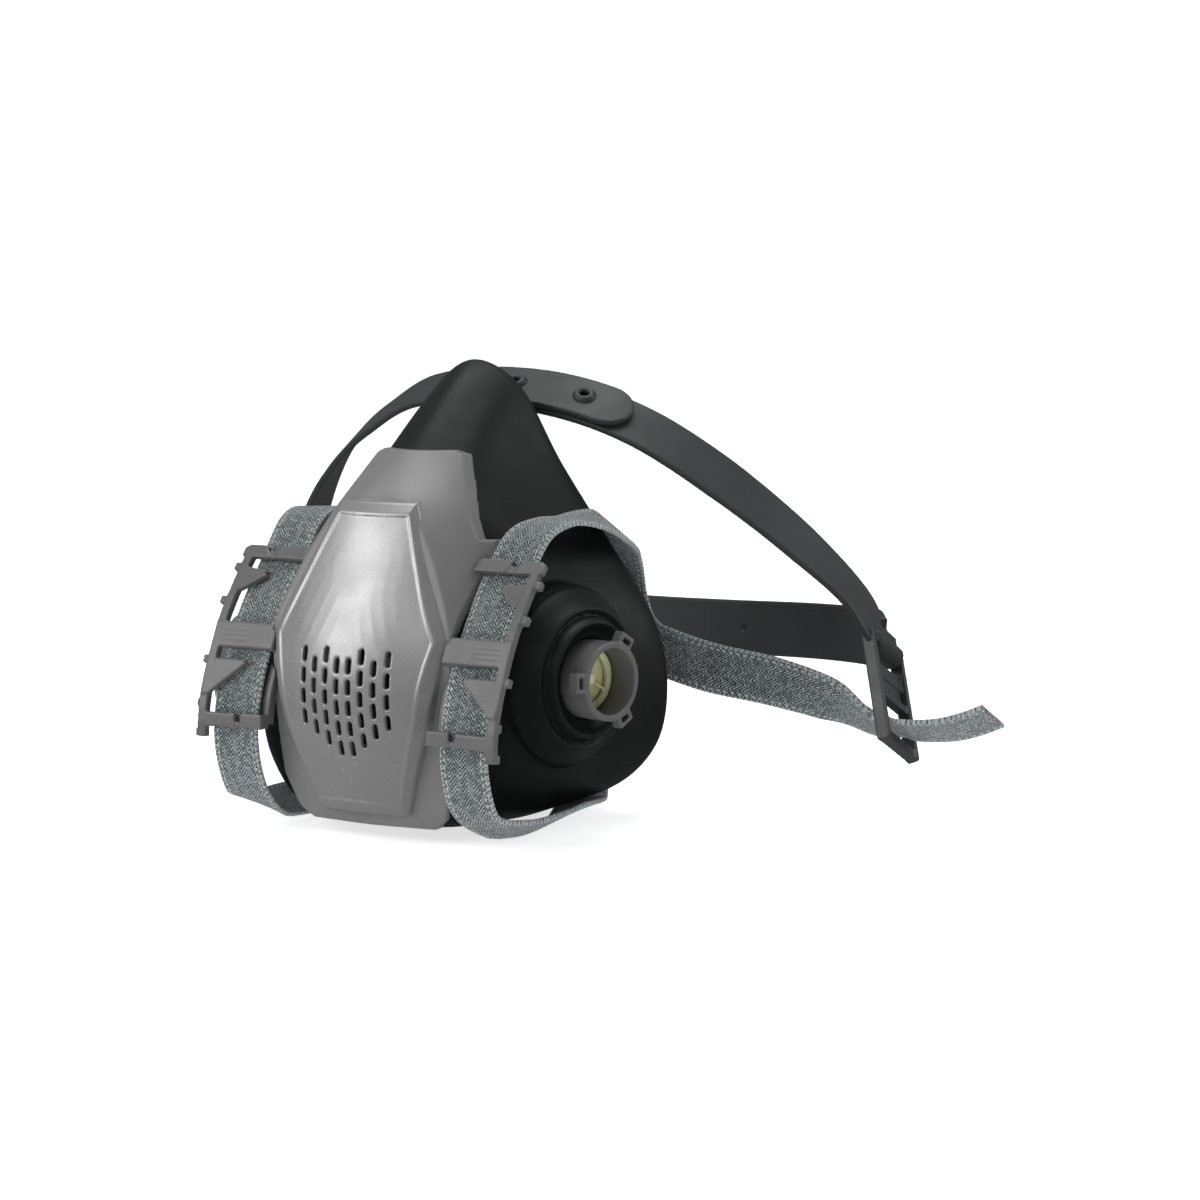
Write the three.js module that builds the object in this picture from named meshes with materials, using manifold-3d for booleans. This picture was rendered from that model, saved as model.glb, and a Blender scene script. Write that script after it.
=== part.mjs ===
// Half-mask respirator with a drop-down head harness, in millimetres.
// Design axes: X to the wearer's left, Y from the front of the mask back to the head, Z up.
// The design origin is midway between the two widest corners of the valve shield; the finished
// group is moved so that its origin is under the middle of the object, at floor level.

import * as THREE from 'three';
import { mergeVertices } from 'three/addons/utils/BufferGeometryUtils.js';
import Module from 'manifold-3d';

const wasm = await Module();
wasm.setup();

// ---------------------------------------------------------------- driving dimensions
const GAP = 0.3; // clearance between touching pieces
const WALL = 3; // facepiece wall
const YOKE_WALL = 2.4;
const YOKE_FACE = GAP + YOKE_WALL; // the yoke's outer face, measured out from the facepiece
const SHIELD_WALL = 1.8;
const SHIELD_RIM = 3.4; // width of the shield's sloping border
const SHIELD_STEP = 1.6; // how far that border falls away
const SHIELD_BULGE = 0.0076; // sideways curvature of the shield, per mm
const SHIELD_OUTLINE = [[13.7, 39.5], [31.7, 0], [26.6, -26], [16.1, -55.6]];
const SLOT_SIZE = [1.75, 4.9];
const SLOT_PITCH = 6.4;
const SLOT_COLUMNS = [
  { x: 2.1, top: -8.8, count: 5 },
  { x: 6.4, top: -5.8, count: 5 },
  { x: 10.8, top: -9.1, count: 4 },
  { x: 15.2, top: -6.2, count: 4 },
];
const VALVE_CENTRE = [0, -19]; // exhalation valve, x and z
const VALVE_RADIUS = 13;

const PORT_CENTRE = new THREE.Vector3(70, 35.5, -14.6); // middle of the port's mouth
const PORT_AXIS = new THREE.Vector3(0.98, -0.2, 0).normalize();
const PORT_OUTER = 12.2;
const PORT_BORE = 10.3;
const PORT_LENGTH = 21;
const RETAINER_RADIUS = 17.4;
const LUG_ANGLES = [176, 58, -62];

const WEB_WIDTH = 16.5;
const WEB_THICK = 1.6;
const WEB_X = 41.9; // middle of the webbing where it runs through the strap frame
const BAND_WIDTH = 19;
const BAND_THICK = 2.2;
const CROWN_LEAN = new THREE.Vector3(0, 0.876, 0.482); // width direction of the crown band
const BAR_DIR = new THREE.Vector3(0.1, 0.862, -0.5).normalize(); // adjuster buckle's bars

const COLOURS = {
  silicone: [0x1f2323, 0.62, 0],
  cradle: [0x454b4b, 0.6, 0],
  plastic: [0x8b8787, 0.5, 0],
  shield: [0xa6a4a4, 0.34, 0.2],
  webbing: [0x7d888d, 0.9, 0],
  buckle: [0x2c2f30, 0.42, 0],
  flap: [0xdcdca8, 0.55, 0],
  gasket: [0x2a2a2a, 0.7, 0],
};

// ---------------------------------------------------------------- geometry helpers
const V = (x, y, z) => new THREE.Vector3(x, y, z);
const smooth = (low, high, value) => THREE.MathUtils.smoothstep(value, low, high);
const mirrored = (point) => V(-point.x, point.y, point.z);

// A closed body through a list of equal rings of points, capped at both ends.
function loft(rings, startPoint, endPoint) {
  const count = rings[0].length;
  const points = rings.flat();
  const faces = [];
  for (let r = 0; r + 1 < rings.length; r++) {
    for (let i = 0; i < count; i++) {
      const j = (i + 1) % count;
      const a = r * count + i;
      const b = r * count + j;
      faces.push(a, b, b + count, a, b + count, a + count);
    }
  }
  const last = (rings.length - 1) * count;
  const start = points.push(startPoint ?? centroid(rings[0])) - 1;
  const end = points.push(endPoint ?? centroid(rings.at(-1))) - 1;
  for (let i = 0; i < count; i++) {
    const j = (i + 1) % count;
    faces.push(start, j, i, end, last + i, last + j);
  }
  const geometry = new THREE.BufferGeometry().setFromPoints(points);
  geometry.setIndex(faces);
  return outward(geometry);
}

function centroid(ring) {
  return ring.reduce((sum, p) => sum.add(p), V(0, 0, 0)).divideScalar(ring.length);
}

function volume(geometry) {
  const position = geometry.getAttribute('position');
  const index = geometry.getIndex().array;
  const corner = (k) => new THREE.Vector3().fromBufferAttribute(position, index[k]);
  let sum = 0;
  for (let k = 0; k < index.length; k += 3) sum += corner(k).dot(corner(k + 1).cross(corner(k + 2)));
  return sum / 6;
}

// Turns a closed geometry's faces so that they point out.
function outward(geometry) {
  if (volume(geometry) < 0) geometry.getIndex().array.reverse();
  return geometry;
}

// The same shape with only shared positions, as a solid for joining and cutting.
function solid(geometry) {
  const bare = geometry.clone();
  bare.deleteAttribute('normal');
  bare.deleteAttribute('uv');
  const merged = outward(mergeVertices(bare, 1e-4));
  return new wasm.Manifold(new wasm.Mesh({
    numProp: 3,
    vertProperties: new Float32Array(merged.getAttribute('position').array),
    triVerts: new Uint32Array(merged.getIndex().array),
  }));
}

function geometryOf(body) {
  const mesh = body.getMesh();
  const geometry = new THREE.BufferGeometry();
  geometry.setAttribute('position', new THREE.BufferAttribute(mesh.vertProperties, 3));
  geometry.setIndex(new THREE.BufferAttribute(mesh.triVerts, 1));
  return geometry;
}

const joined = (bodies) => bodies.reduce((sum, body) => sum.add(body));

// The main piece of a cut body, without the slivers that a cut may leave beside it.
function mainPiece(body) {
  return body.decompose().reduce((best, piece) => (piece.volume() > best.volume() ? piece : best));
}

function mirrorGeometry(geometry) {
  const copy = geometry.clone().applyMatrix4(new THREE.Matrix4().makeScale(-1, 1, 1));
  if (!copy.getIndex()) copy.setIndex([...Array(copy.getAttribute('position').count).keys()]);
  return outward(copy);
}

function box(width, depth, height, x = 0, y = 0, z = 0) {
  return new THREE.BoxGeometry(width, depth, height).translate(x, y, z);
}

function extrude(outline, depth, holes = [], curveSegments = 6) {
  const shape = new THREE.Shape(outline.map(([x, y]) => new THREE.Vector2(x, y)));
  shape.holes = holes;
  const settings = { depth, bevelEnabled: false, curveSegments };
  return new THREE.ExtrudeGeometry(shape, settings).translate(0, 0, -depth / 2);
}

// Places a geometry made along local axes at a point, its axes along x, y and x × y.
function place(geometry, origin, xAxis, yAxis) {
  const zAxis = xAxis.clone().cross(yAxis).normalize();
  const matrix = new THREE.Matrix4().makeBasis(xAxis, yAxis, zAxis).setPosition(origin);
  return geometry.applyMatrix4(matrix);
}

// A body of revolution about an axis, from [radius, distance along the axis] pairs.
function revolve(profile, centre, axis, segments = 28) {
  const geometry = new THREE.LatheGeometry(profile.map(([r, d]) => new THREE.Vector2(r, d)), segments);
  const turn = new THREE.Quaternion().setFromUnitVectors(V(0, 1, 0), axis);
  return outward(geometry.applyQuaternion(turn).translate(centre.x, centre.y, centre.z));
}

function ringProfile(inner, outer, from, to) {
  return [[inner, from], [outer, from], [outer, to], [inner, to], [inner, from]];
}

// A point, width direction and face direction along a list of keys, u running from 0 to 1.
function sampler(keys) {
  const path = new THREE.CatmullRomCurve3(keys.map((entry) => entry.point), false, 'centripetal');
  return (u) => {
    const at = u * (keys.length - 1);
    const k = Math.min(Math.floor(at), keys.length - 2);
    const tangent = path.getTangent(u);
    const side = keys[k].side.clone().lerp(keys[k + 1].side, at - k);
    side.addScaledVector(tangent, -side.dot(tangent)).normalize();
    return { point: path.getPoint(u), tangent, side, face: tangent.clone().cross(side).normalize() };
  };
}

// A flat strip along a smooth path. Each key is a point and the direction of the strip's width.
function strip(keys, width, thickness, steps, { from = 0, to = 1, raise = () => 0, endTaper = 0 } = {}) {
  const sample = sampler(keys);
  const rings = [];
  for (let s = 0; s <= steps; s++) {
    const share = s / steps;
    const { point, side, face } = sample(from + (to - from) * share);
    const half = (width / 2) * (share === 1 && endTaper ? 1 - endTaper : 1);
    point.addScaledVector(face, raise(share));
    const corner = (a, b) => point.clone()
      .addScaledVector(side, a * half)
      .addScaledVector(face, (b * thickness) / 2);
    rings.push([corner(-1, -1), corner(1, -1), corner(1, 1), corner(-1, 1)]);
  }
  return loft(rings);
}

const key = (x, y, z, side) => ({ point: V(x, y, z), side });
const mirrorKeys = (keys) => keys.map((k) => ({ point: mirrored(k.point), side: mirrored(k.side) }));

// ---------------------------------------------------------------- facepiece
// Each station is half of a ring round the mask, from the bridge of the nose at the top,
// down the right-hand side of a front view, to the chin.
const STATIONS = [
  [[0, 17.5, 39], [9, 17, 38], [17, 13.5, 30], [26, 8.5, 13], [31, 5.5, -1], [30, 5, -18],
    [25, 6, -38], [17, 8, -54], [0, 8.5, -58.5]],
  [[0, 27, 46], [11, 27, 43.5], [22, 26, 33.5], [31.5, 26, 18.5], [40.5, 16.5, 0], [43, 12, -19],
    [40, 10, -40], [28, 12, -57.5], [0, 14, -60.6]],
  [[0, 41, 58.5], [12, 42, 54.5], [23, 40, 41], [38, 36, 22], [48.5, 31, 4], [51, 29, -17],
    [49, 30, -42], [38, 33, -58.6], [0, 35, -61]],
  [[0, 57, 72], [12, 59, 67], [24, 60, 48], [40, 60, 25], [52.5, 60, 4], [57, 60, -18],
    [54.5, 60, -42], [41, 59, -58.4], [0, 56, -61]],
  [[0, 70, 80], [13, 73, 73.5], [27.5, 77, 47.5], [43.5, 80, 22], [58, 82, -1], [62.5, 83, -21],
    [59, 82, -42.5], [43, 79, -57.4], [0, 75, -60.6]],
  [[0, 74, 79.5], [12, 76.5, 73], [26.5, 80.5, 46.5], [42.5, 83.5, 21.5], [56.5, 85.5, -1.5],
    [61, 86.5, -21], [57.5, 85.5, -41.5], [42, 82.5, -56.2], [0, 78.5, -59.4]],
];
const RING_POINTS = 40;
const STATION_STEPS = 2;

// A full ring of points through one half ring and its mirror image.
function fullRing(half) {
  const right = half.map(([x, y, z]) => V(x, y, z));
  const left = right.slice(1, -1).reverse().map(mirrored);
  const curve = new THREE.CatmullRomCurve3([...right, ...left], true, 'centripetal');
  return curve.getPoints(RING_POINTS).slice(0, RING_POINTS);
}

const stationRings = STATIONS.map(fullRing);

// Rings from near the middle of the front, over every station, to the rim.
function facepieceRings() {
  const pole = V(0, 2.5, -16);
  const rings = [0.35, 0.7].map((share) => stationRings[0].map((p) => {
    const point = pole.clone().lerp(p, share);
    point.y = pole.y + (p.y - pole.y) * share * share;
    return point;
  }));
  const rails = stationRings[0].map((_, i) => new THREE.CatmullRomCurve3(
    stationRings.map((ring) => ring[i]), false, 'centripetal'));
  const steps = (STATIONS.length - 1) * STATION_STEPS;
  for (let s = 0; s <= steps; s++) rings.push(rails.map((rail) => rail.getPoint(s / steps)));
  return rings;
}

// The same rings moved along their surface normals; a positive distance moves them out.
function offsetRings(rings, distance) {
  const count = rings[0].length;
  return rings.map((ring, r) => ring.map((p, i) => {
    const along = rings[Math.min(r + 1, rings.length - 1)][i].clone().sub(rings[Math.max(r - 1, 0)][i]);
    const around = ring[(i + 1) % count].clone().sub(ring[(i + count - 1) % count]);
    const normal = around.cross(along).normalize();
    return p.clone().addScaledVector(normal, distance);
  }));
}

const outerRings = facepieceRings();
const FRONT_POLE_Y = 2.3;

function facepieceBody(distance, lastRings = 0) {
  const rings = offsetRings(outerRings, distance).slice(0, outerRings.length - lastRings);
  return loft(rings, V(0, FRONT_POLE_Y - distance, -16));
}

// The hollow for the face: the inside of the wall, then a smaller mouth with a soft inner lip.
function faceHollow() {
  const rings = offsetRings(outerRings, -WALL).slice(0, outerRings.length - 2);
  const rim = outerRings.at(-1);
  const middle = centroid(rim);
  const mouth = (share, dy) => rim.map((p) => V(p.x * share, p.y + dy, middle.z + (p.z - middle.z) * share));
  rings.push(mouth(0.8, -WALL), mouth(0.79, 10));
  return loft(rings, V(0, FRONT_POLE_Y + WALL, -16));
}

// Stepped bellows round each port; distances run from the port's mouth along its axis.
const BELLOWS = [
  [0, -26], [28.4, -26], [28.4, -18.2], [27, -16.2], [23.2, -12.2], [21.8, -10.2], [20.6, -9.6],
  [19.4, -10.8], [18.7, -8.4], [17.7, -7.1], [16.6, -6.8], [15.2, -8.4], [13.4, -9], [0, -9],
];

function portSides() {
  return [[PORT_CENTRE, PORT_AXIS], [mirrored(PORT_CENTRE), mirrored(PORT_AXIS)]];
}

function makeFacepiece() {
  let body = solid(facepieceBody(0));
  for (const [centre, axis] of portSides()) body = body.add(solid(revolve(BELLOWS, centre, axis, 36)));
  body = body.subtract(solid(faceHollow()));
  for (const [centre, axis] of portSides()) {
    const bore = ringless(PORT_OUTER + GAP, -40, 5);
    body = body.subtract(solid(revolve(bore, centre, axis, 28)));
    const pocket = ringless(RETAINER_RADIUS + GAP, -40, -12.5);
    body = body.subtract(solid(revolve(pocket, centre, axis, 28)));
  }
  const front = V(VALVE_CENTRE[0], 0, VALVE_CENTRE[1]);
  body = body.subtract(solid(revolve(ringless(VALVE_RADIUS + 1.5, -30, 12), front, V(0, 1, 0), 32)));
  return geometryOf(body);
}

function ringless(radius, from, to) {
  return [[0, from], [radius, from], [radius, to], [0, to]];
}

// ---------------------------------------------------------------- yoke and valve shield
const YOKE_OUTLINE = [
  [12.5, 53.8], [16, 52.4], [17.4, 49.5], [29, 27.6], [32.6, 27.4], [32.8, 8], [32.6, -26],
  [31, -46], [27, -56.5], [22.5, -60.2],
];

function bothSides(outline) {
  return [...outline, ...outline.map(([x, z]) => [-x, z]).reverse()];
}

// A prism with an outline in the X-Z plane, running from front to back.
function frontPrism(outline, fromY, toY) {
  const prism = extrude(outline, toY - fromY);
  return prism.rotateX(Math.PI / 2).translate(0, (fromY + toY) / 2, 0);
}

function makeYoke() {
  const skin = solid(facepieceBody(YOKE_FACE, 4)).subtract(solid(facepieceBody(GAP, 0)));
  let body = skin.intersect(solid(frontPrism(bothSides(YOKE_OUTLINE), -20, 50)));
  const middle = V(VALVE_CENTRE[0], 0, VALVE_CENTRE[1]);
  body = body.subtract(solid(revolve(ringless(VALVE_RADIUS + 1.5, -30, 30), middle, V(0, 1, 0), 28)));
  return geometryOf(mainPiece(body));
}

// Depth of the shield's panel in the middle, as a smooth curve from its top to its bottom.
const SHIELD_PROFILE = new THREE.CatmullRomCurve3([
  V(0, 12.4, 40), V(0, 3.2, 20), V(0, -5.2, 0), V(0, -8.1, -18), V(0, -5.2, -36), V(0, 0.8, -56),
], false, 'centripetal');

function shieldDepth(x, z) {
  let low = 0;
  let high = 1;
  for (let i = 0; i < 18; i++) {
    const middle = (low + high) / 2;
    if (SHIELD_PROFILE.getPoint(middle).z > z) low = middle;
    else high = middle;
  }
  return SHIELD_PROFILE.getPoint(low).y + SHIELD_BULGE * x * x;
}

function shieldOutline(inset, perSide) {
  const middle = new THREE.Vector2(0, -8);
  const corners = bothSides(SHIELD_OUTLINE).map(([x, z]) => new THREE.Vector2(x, z));
  const points = [];
  corners.forEach((corner, i) => {
    const next = corners[(i + 1) % corners.length];
    for (let k = 0; k < perSide; k++) points.push(corner.clone().lerp(next, k / perSide));
  });
  return points.map((p) => {
    const arm = p.clone().sub(middle);
    return middle.clone().addScaledVector(arm, 1 - inset / arm.length());
  });
}

function shieldRing(inset, lift) {
  return shieldOutline(inset, 4).map((p) => V(p.x, shieldDepth(p.x, p.y) + lift, p.y));
}

function makeShield() {
  const rings = [
    shieldRing(22, SHIELD_WALL), shieldRing(SHIELD_RIM + 1, SHIELD_WALL - 0.3),
    shieldRing(1.6, SHIELD_WALL + SHIELD_STEP), shieldRing(0, SHIELD_WALL + SHIELD_STEP),
    shieldRing(0, SHIELD_STEP - 0.5), shieldRing(SHIELD_RIM, -0.4), shieldRing(SHIELD_RIM + 0.9, 0),
    shieldRing(12, 0), shieldRing(22, 0),
  ];
  const backPole = V(0, shieldDepth(0, -8) + SHIELD_WALL, -8);
  let body = solid(loft(rings, backPole, V(0, shieldDepth(0, -8), -8)));
  const slots = [];
  for (const { x, top, count } of SLOT_COLUMNS) {
    for (let k = 0; k < count; k++) {
      for (const side of [-1, 1]) slots.push(slotCutter(side * x, top - k * SLOT_PITCH));
    }
  }
  body = body.subtract(joined(slots)).subtract(solid(facepieceBody(YOKE_FACE + GAP)));
  return geometryOf(mainPiece(body));
}

function slotCutter(x, z) {
  const [width, height] = SLOT_SIZE;
  const straight = (height - width) / 2;
  const outline = [];
  for (const end of [1, -1]) {
    for (let k = 0; k <= 3; k++) {
      const angle = (Math.PI * k) / 3 + (end < 0 ? Math.PI : 0);
      outline.push([(width / 2) * Math.cos(angle), end * straight + (width / 2) * Math.sin(angle)]);
    }
  }
  return solid(frontPrism(outline, -14, 10).translate(x, 0, z));
}

// ---------------------------------------------------------------- strap frames
// The curve that the frame's bars lie on, from the top bar down to the bottom bar.
const FRAME_CURVE = new THREE.CatmullRomCurve3([
  V(0, 24.5, 24), V(0, 20.6, 20.2), V(0, 12.6, 11), V(0, 5, 1), V(0, 0.2, -8), V(0, -4.4, -18),
  V(0, -7, -28), V(0, -7.4, -35),
], false, 'centripetal');

// A local frame on that curve: u runs from 0 at the top to 1 at the bottom.
function frameAt(z) {
  let low = 0;
  let high = 1;
  for (let i = 0; i < 18; i++) {
    const middle = (low + high) / 2;
    if (FRAME_CURVE.getPoint(middle).z > z) low = middle;
    else high = middle;
  }
  const point = FRAME_CURVE.getPoint(low);
  const up = FRAME_CURVE.getTangent(low).negate();
  return { point, up, out: V(1, 0, 0).cross(up).normalize() };
}

// A flat plate outlined in (x, distance up the curve), centred on the curve at height z.
function framePlate(outline, z, thickness, lift = 0) {
  const { point, up } = frameAt(z);
  const plate = extrude(outline, thickness);
  const right = V(1, 0, 0);
  const geometry = place(plate, V(0, point.y, point.z), right, up);
  const front = right.clone().cross(up).normalize();
  return solid(geometry.translate(...front.multiplyScalar(lift)));
}

const RAIL_X = 52.6;

function railStrip(x, width, thick, topZ, bottomZ, sink) {
  const keys = [];
  for (let k = 0; k <= 9; k++) {
    const { point, out } = frameAt(topZ + ((bottomZ - topZ) * k) / 9);
    keys.push({ point: V(x, point.y, point.z).addScaledVector(out, -sink), side: V(1, 0, 0) });
  }
  return solid(strip(keys, width, thick, 12));
}

function rectangle(x0, x1, up0, up1) {
  return [[x0, up0], [x1, up0], [x1, up1], [x0, up1]];
}

function makeStrapFrame() {
  const bars = [
    framePlate([[31, -2.4], [42.2, -2.2], [44.2, 2.4], [32.6, 2.6]], 20.4, 2),
    framePlate([[45.4, -2.4], [55.6, -2], [55.8, 1.2], [54, 2.4], [47, 2.4]], 20.4, 2),
    framePlate(rectangle(40.5, 54, -2.2, 0.4), 20.4, 1.3),
    framePlate([[54, -1], [42.4, 2.6], [54, 4.2]], 13, 1.8),
    framePlate([[54, -4.2], [51, -3.6], [42.6, 2.8], [54, 3.4]], 12, 1.8),
    framePlate(rectangle(31, 54.4, -4.2, 4.2), -3.4, 2.2),
    framePlate([[51.6, 2.2], [53.8, 2.2], [53.8, -9.5], [51.4, -9.5], [39.8, 1.2], [40.4, 2.2]], -12.6, 1.8),
    framePlate([[30, -2.2], [38.2, -2.2], [38.2, 2.4], [30.4, 2.4]], -28.6, 2),
    framePlate([[40.4, -2.2], [54, -2.6], [54, 2], [40.4, 2.2]], -28.6, 2),
    framePlate(rectangle(37, 42, -2.2, -0.4), -28.6, 1.4),
  ];
  for (const [z, reach] of [[16, 2.4], [6.4, 2.6], [-11, 2], [-24, 1.2], [-33.2, 1.2]]) {
    bars.push(framePlate(rectangle(52, 54.2 + reach, -1.3, 1.3), z, 2.2, -0.4));
  }
  for (const [z, height] of [[20.4, 4.4], [-3.4, 8], [-28.6, 4.2]]) {
    bars.push(framePlate(rectangle(31, 32.6, -height / 2, height / 2), z, 5, -2));
  }
  const rails = [
    railStrip(RAIL_X + 0.3, 3, 2.6, 21.5, -34.5, 0.2),
    railStrip(32.4, 2.8, 3.4, 20.4, -29.5, 5.6),
  ];
  let body = joined([...bars, ...rails]).subtract(solid(facepieceBody(YOKE_FACE + GAP)));
  for (const up of [-1.6, 0, 1.6]) {
    body = body.subtract(framePlate(rectangle(41.5, 51, up - 0.3, up + 0.3), -3.4, 1, 1.1));
  }
  return geometryOf(mainPiece(body));
}

// ---------------------------------------------------------------- ports and valves
function makePort() {
  const tube = revolve(ringProfile(PORT_BORE, PORT_OUTER, -PORT_LENGTH, 0), PORT_CENTRE, PORT_AXIS, 28);
  const collar = revolve(ringProfile(PORT_BORE + 0.5, PORT_OUTER + 3.4, -15.6, -14.2), PORT_CENTRE, PORT_AXIS, 28);
  let body = solid(tube).add(solid(collar));
  const up = V(0, 0, 1);
  const back = up.clone().cross(PORT_AXIS).normalize();
  for (const angle of LUG_ANGLES) {
    const turn = THREE.MathUtils.degToRad(angle);
    const radial = back.clone().multiplyScalar(Math.cos(turn)).addScaledVector(up, Math.sin(turn));
    const origin = PORT_CENTRE.clone().addScaledVector(PORT_AXIS, -2.1);
    const lug = place(box(4.6, 6, 3.6, PORT_OUTER + 1.1, 0, 0), origin, radial, PORT_AXIS.clone().cross(radial));
    const hole = place(box(1.7, 3.4, 9, PORT_OUTER + 1.4, 0, 0), origin, radial, PORT_AXIS.clone().cross(radial));
    body = body.add(solid(lug)).subtract(solid(hole));
  }
  body = body.subtract(solid(revolve(ringless(PORT_BORE, -PORT_LENGTH - 1, 1), PORT_CENTRE, PORT_AXIS, 28)));
  return geometryOf(body);
}

function makeGasket() {
  return revolve(ringProfile(PORT_OUTER + GAP, PORT_OUTER + 3.4, -13.9, -12.8), PORT_CENTRE, PORT_AXIS, 28);
}

function makeRetainer() {
  const profile = ringProfile(PORT_OUTER + GAP, RETAINER_RADIUS, -18.6, -16);
  return revolve(profile, PORT_CENTRE, PORT_AXIS, 28);
}

function makeInhalationSeat() {
  const outer = PORT_BORE - GAP;
  const parts = [
    solid(revolve(ringProfile(8, outer, -10.6, -9), PORT_CENTRE, PORT_AXIS, 28)),
    solid(revolve(ringless(1.7, -10.6, -8.4), PORT_CENTRE, PORT_AXIS, 16)),
  ];
  const up = V(0, 0, 1);
  const back = up.clone().cross(PORT_AXIS).normalize();
  for (let k = 0; k < 3; k++) {
    const turn = Math.PI / 2 + (k * 2 * Math.PI) / 3;
    const radial = back.clone().multiplyScalar(Math.cos(turn)).addScaledVector(up, Math.sin(turn));
    const origin = PORT_CENTRE.clone().addScaledVector(PORT_AXIS, -10);
    parts.push(solid(place(box(8, 1, 1.2, 4.8, 0, 0), origin, radial, PORT_AXIS.clone().cross(radial))));
  }
  return geometryOf(joined(parts));
}

function makeInhalationFlap() {
  return revolve([[0, -11.8], [9.3, -11.8], [9.5, -11.1], [0, -11.1]], PORT_CENTRE, PORT_AXIS, 28);
}

const VALVE_FACE = -0.9; // front face of the exhalation seat

function makeExhalationSeat() {
  const centre = V(VALVE_CENTRE[0], 0, VALVE_CENTRE[1]);
  const parts = [
    solid(revolve([
      [VALVE_RADIUS - 2, VALVE_FACE], [VALVE_RADIUS + 1.2, VALVE_FACE], [VALVE_RADIUS + 1.2, 6.2],
      [VALVE_RADIUS - 2, 6.2], [VALVE_RADIUS - 2, VALVE_FACE],
    ], centre, V(0, 1, 0), 32)),
    solid(revolve(ringless(2.2, VALVE_FACE, 3), centre, V(0, 1, 0), 16)),
  ];
  for (const angle of [0, Math.PI / 2]) {
    const bar = box(2 * VALVE_RADIUS - 2, 1.8, 1.2, 0, 1.2, 0).rotateY(angle);
    parts.push(solid(bar.translate(centre.x, 0, centre.z)));
  }
  return geometryOf(joined(parts));
}

function makeExhalationFlap() {
  const centre = V(VALVE_CENTRE[0], 0, VALVE_CENTRE[1]);
  const face = VALVE_FACE - GAP;
  return revolve([[0, face - 0.9], [VALVE_RADIUS + 0.4, face - 0.7], [VALVE_RADIUS + 0.4, face], [0, face]],
    centre, V(0, 1, 0), 32);
}

// ---------------------------------------------------------------- webbing
const ALONG_X = V(1, 0, 0);
const WEB_SINK = 2.4; // the webbing lies this far under the frame's curve

function framePoint(z) {
  const { point, out } = frameAt(z);
  const centre = V(WEB_X, point.y, point.z).addScaledVector(out, -WEB_SINK);
  return { point: centre, side: ALONG_X };
}

// From behind the lobe, over its shoulder, down through the frame and back under the chin.
const MASK_WEB = [
  key(51.8, 101.4, -15.3, V(0.28, 0, 0.96)),
  key(46.4, 100.8, -13.2, V(0.5, 0, 0.86)),
  key(41, 99.8, -7, V(0.82, 0.05, 0.55)),
  key(38.4, 98.4, 3, V(1, 0.1, 0.15)),
  key(38.4, 96.8, 9, V(1, 0.15, 0)),
  key(40.4, 92.4, 17, V(0.92, 0.15, -0.35)),
  key(44.1, 84.8, 24.5, V(0.76, 0.1, -0.6)),
  key(46.3, 75, 28.2, V(0.8, 0, -0.55)),
  key(46.8, 65, 30.2, V(0.92, 0, -0.34)),
  key(46.4, 55, 31.4, V(1, 0, -0.1)),
  key(44.8, 44, 32.2, ALONG_X),
  key(42.8, 33, 29.2, ALONG_X),
  framePoint(20.4),
  framePoint(8),
  framePoint(-3.4),
  framePoint(-16),
  framePoint(-28.6),
  key(WEB_X, -4.4, -40, ALONG_X),
  key(42.2, 1.4, -53, ALONG_X),
  key(44.8, 14, -58.6, V(0.93, 0, 0.36)),
  key(46, 30, -60.2, V(0.87, 0, 0.45)),
  key(45, 48, -60.2, V(0.85, 0.15, 0.45)),
  key(39.5, 66, -60.8, V(0.85, 0.4, 0.2)),
  key(33, 80, -61.6, V(0.85, 0.5, 0.1)),
  key(27.6, 91, -57.2, V(0.55, 0.5, 0.55)),
  key(23.4, 95.4, -54.4, V(0.12, 0.2, 0.97)),
  key(17.2, 96, -54, V(0, 0, 1)),
];

const CRADLE_WEB = [
  key(52.8, 101.5, -15.6, V(0.27, 0, 0.96)),
  key(67, 103.5, -19.6, V(0.2, 0, 0.97)),
  key(87.6, 108.5, -23.5, V(0.1, -0.1, 0.98)),
  key(104.6, 114.5, -29, V(0, -0.4, 0.9)),
  key(112.6, 118.3, -34, V(-0.1, -0.7, 0.66)),
];

const BUCKLE_TOP = V(114.5, 134, -14.8);
const BUCKLE_BOTTOM = V(127.3, 118, -42.5);
const BUCKLE_LENGTH = BUCKLE_TOP.distanceTo(BUCKLE_BOTTOM);
const BUCKLE_DOWN = BUCKLE_BOTTOM.clone().sub(BUCKLE_TOP).normalize();
const BUCKLE_OUT = BUCKLE_DOWN.clone().cross(BAR_DIR).normalize();

function bucklePoint(down, out) {
  return BUCKLE_TOP.clone().addScaledVector(BUCKLE_DOWN, down).addScaledVector(BUCKLE_OUT, out);
}

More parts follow.
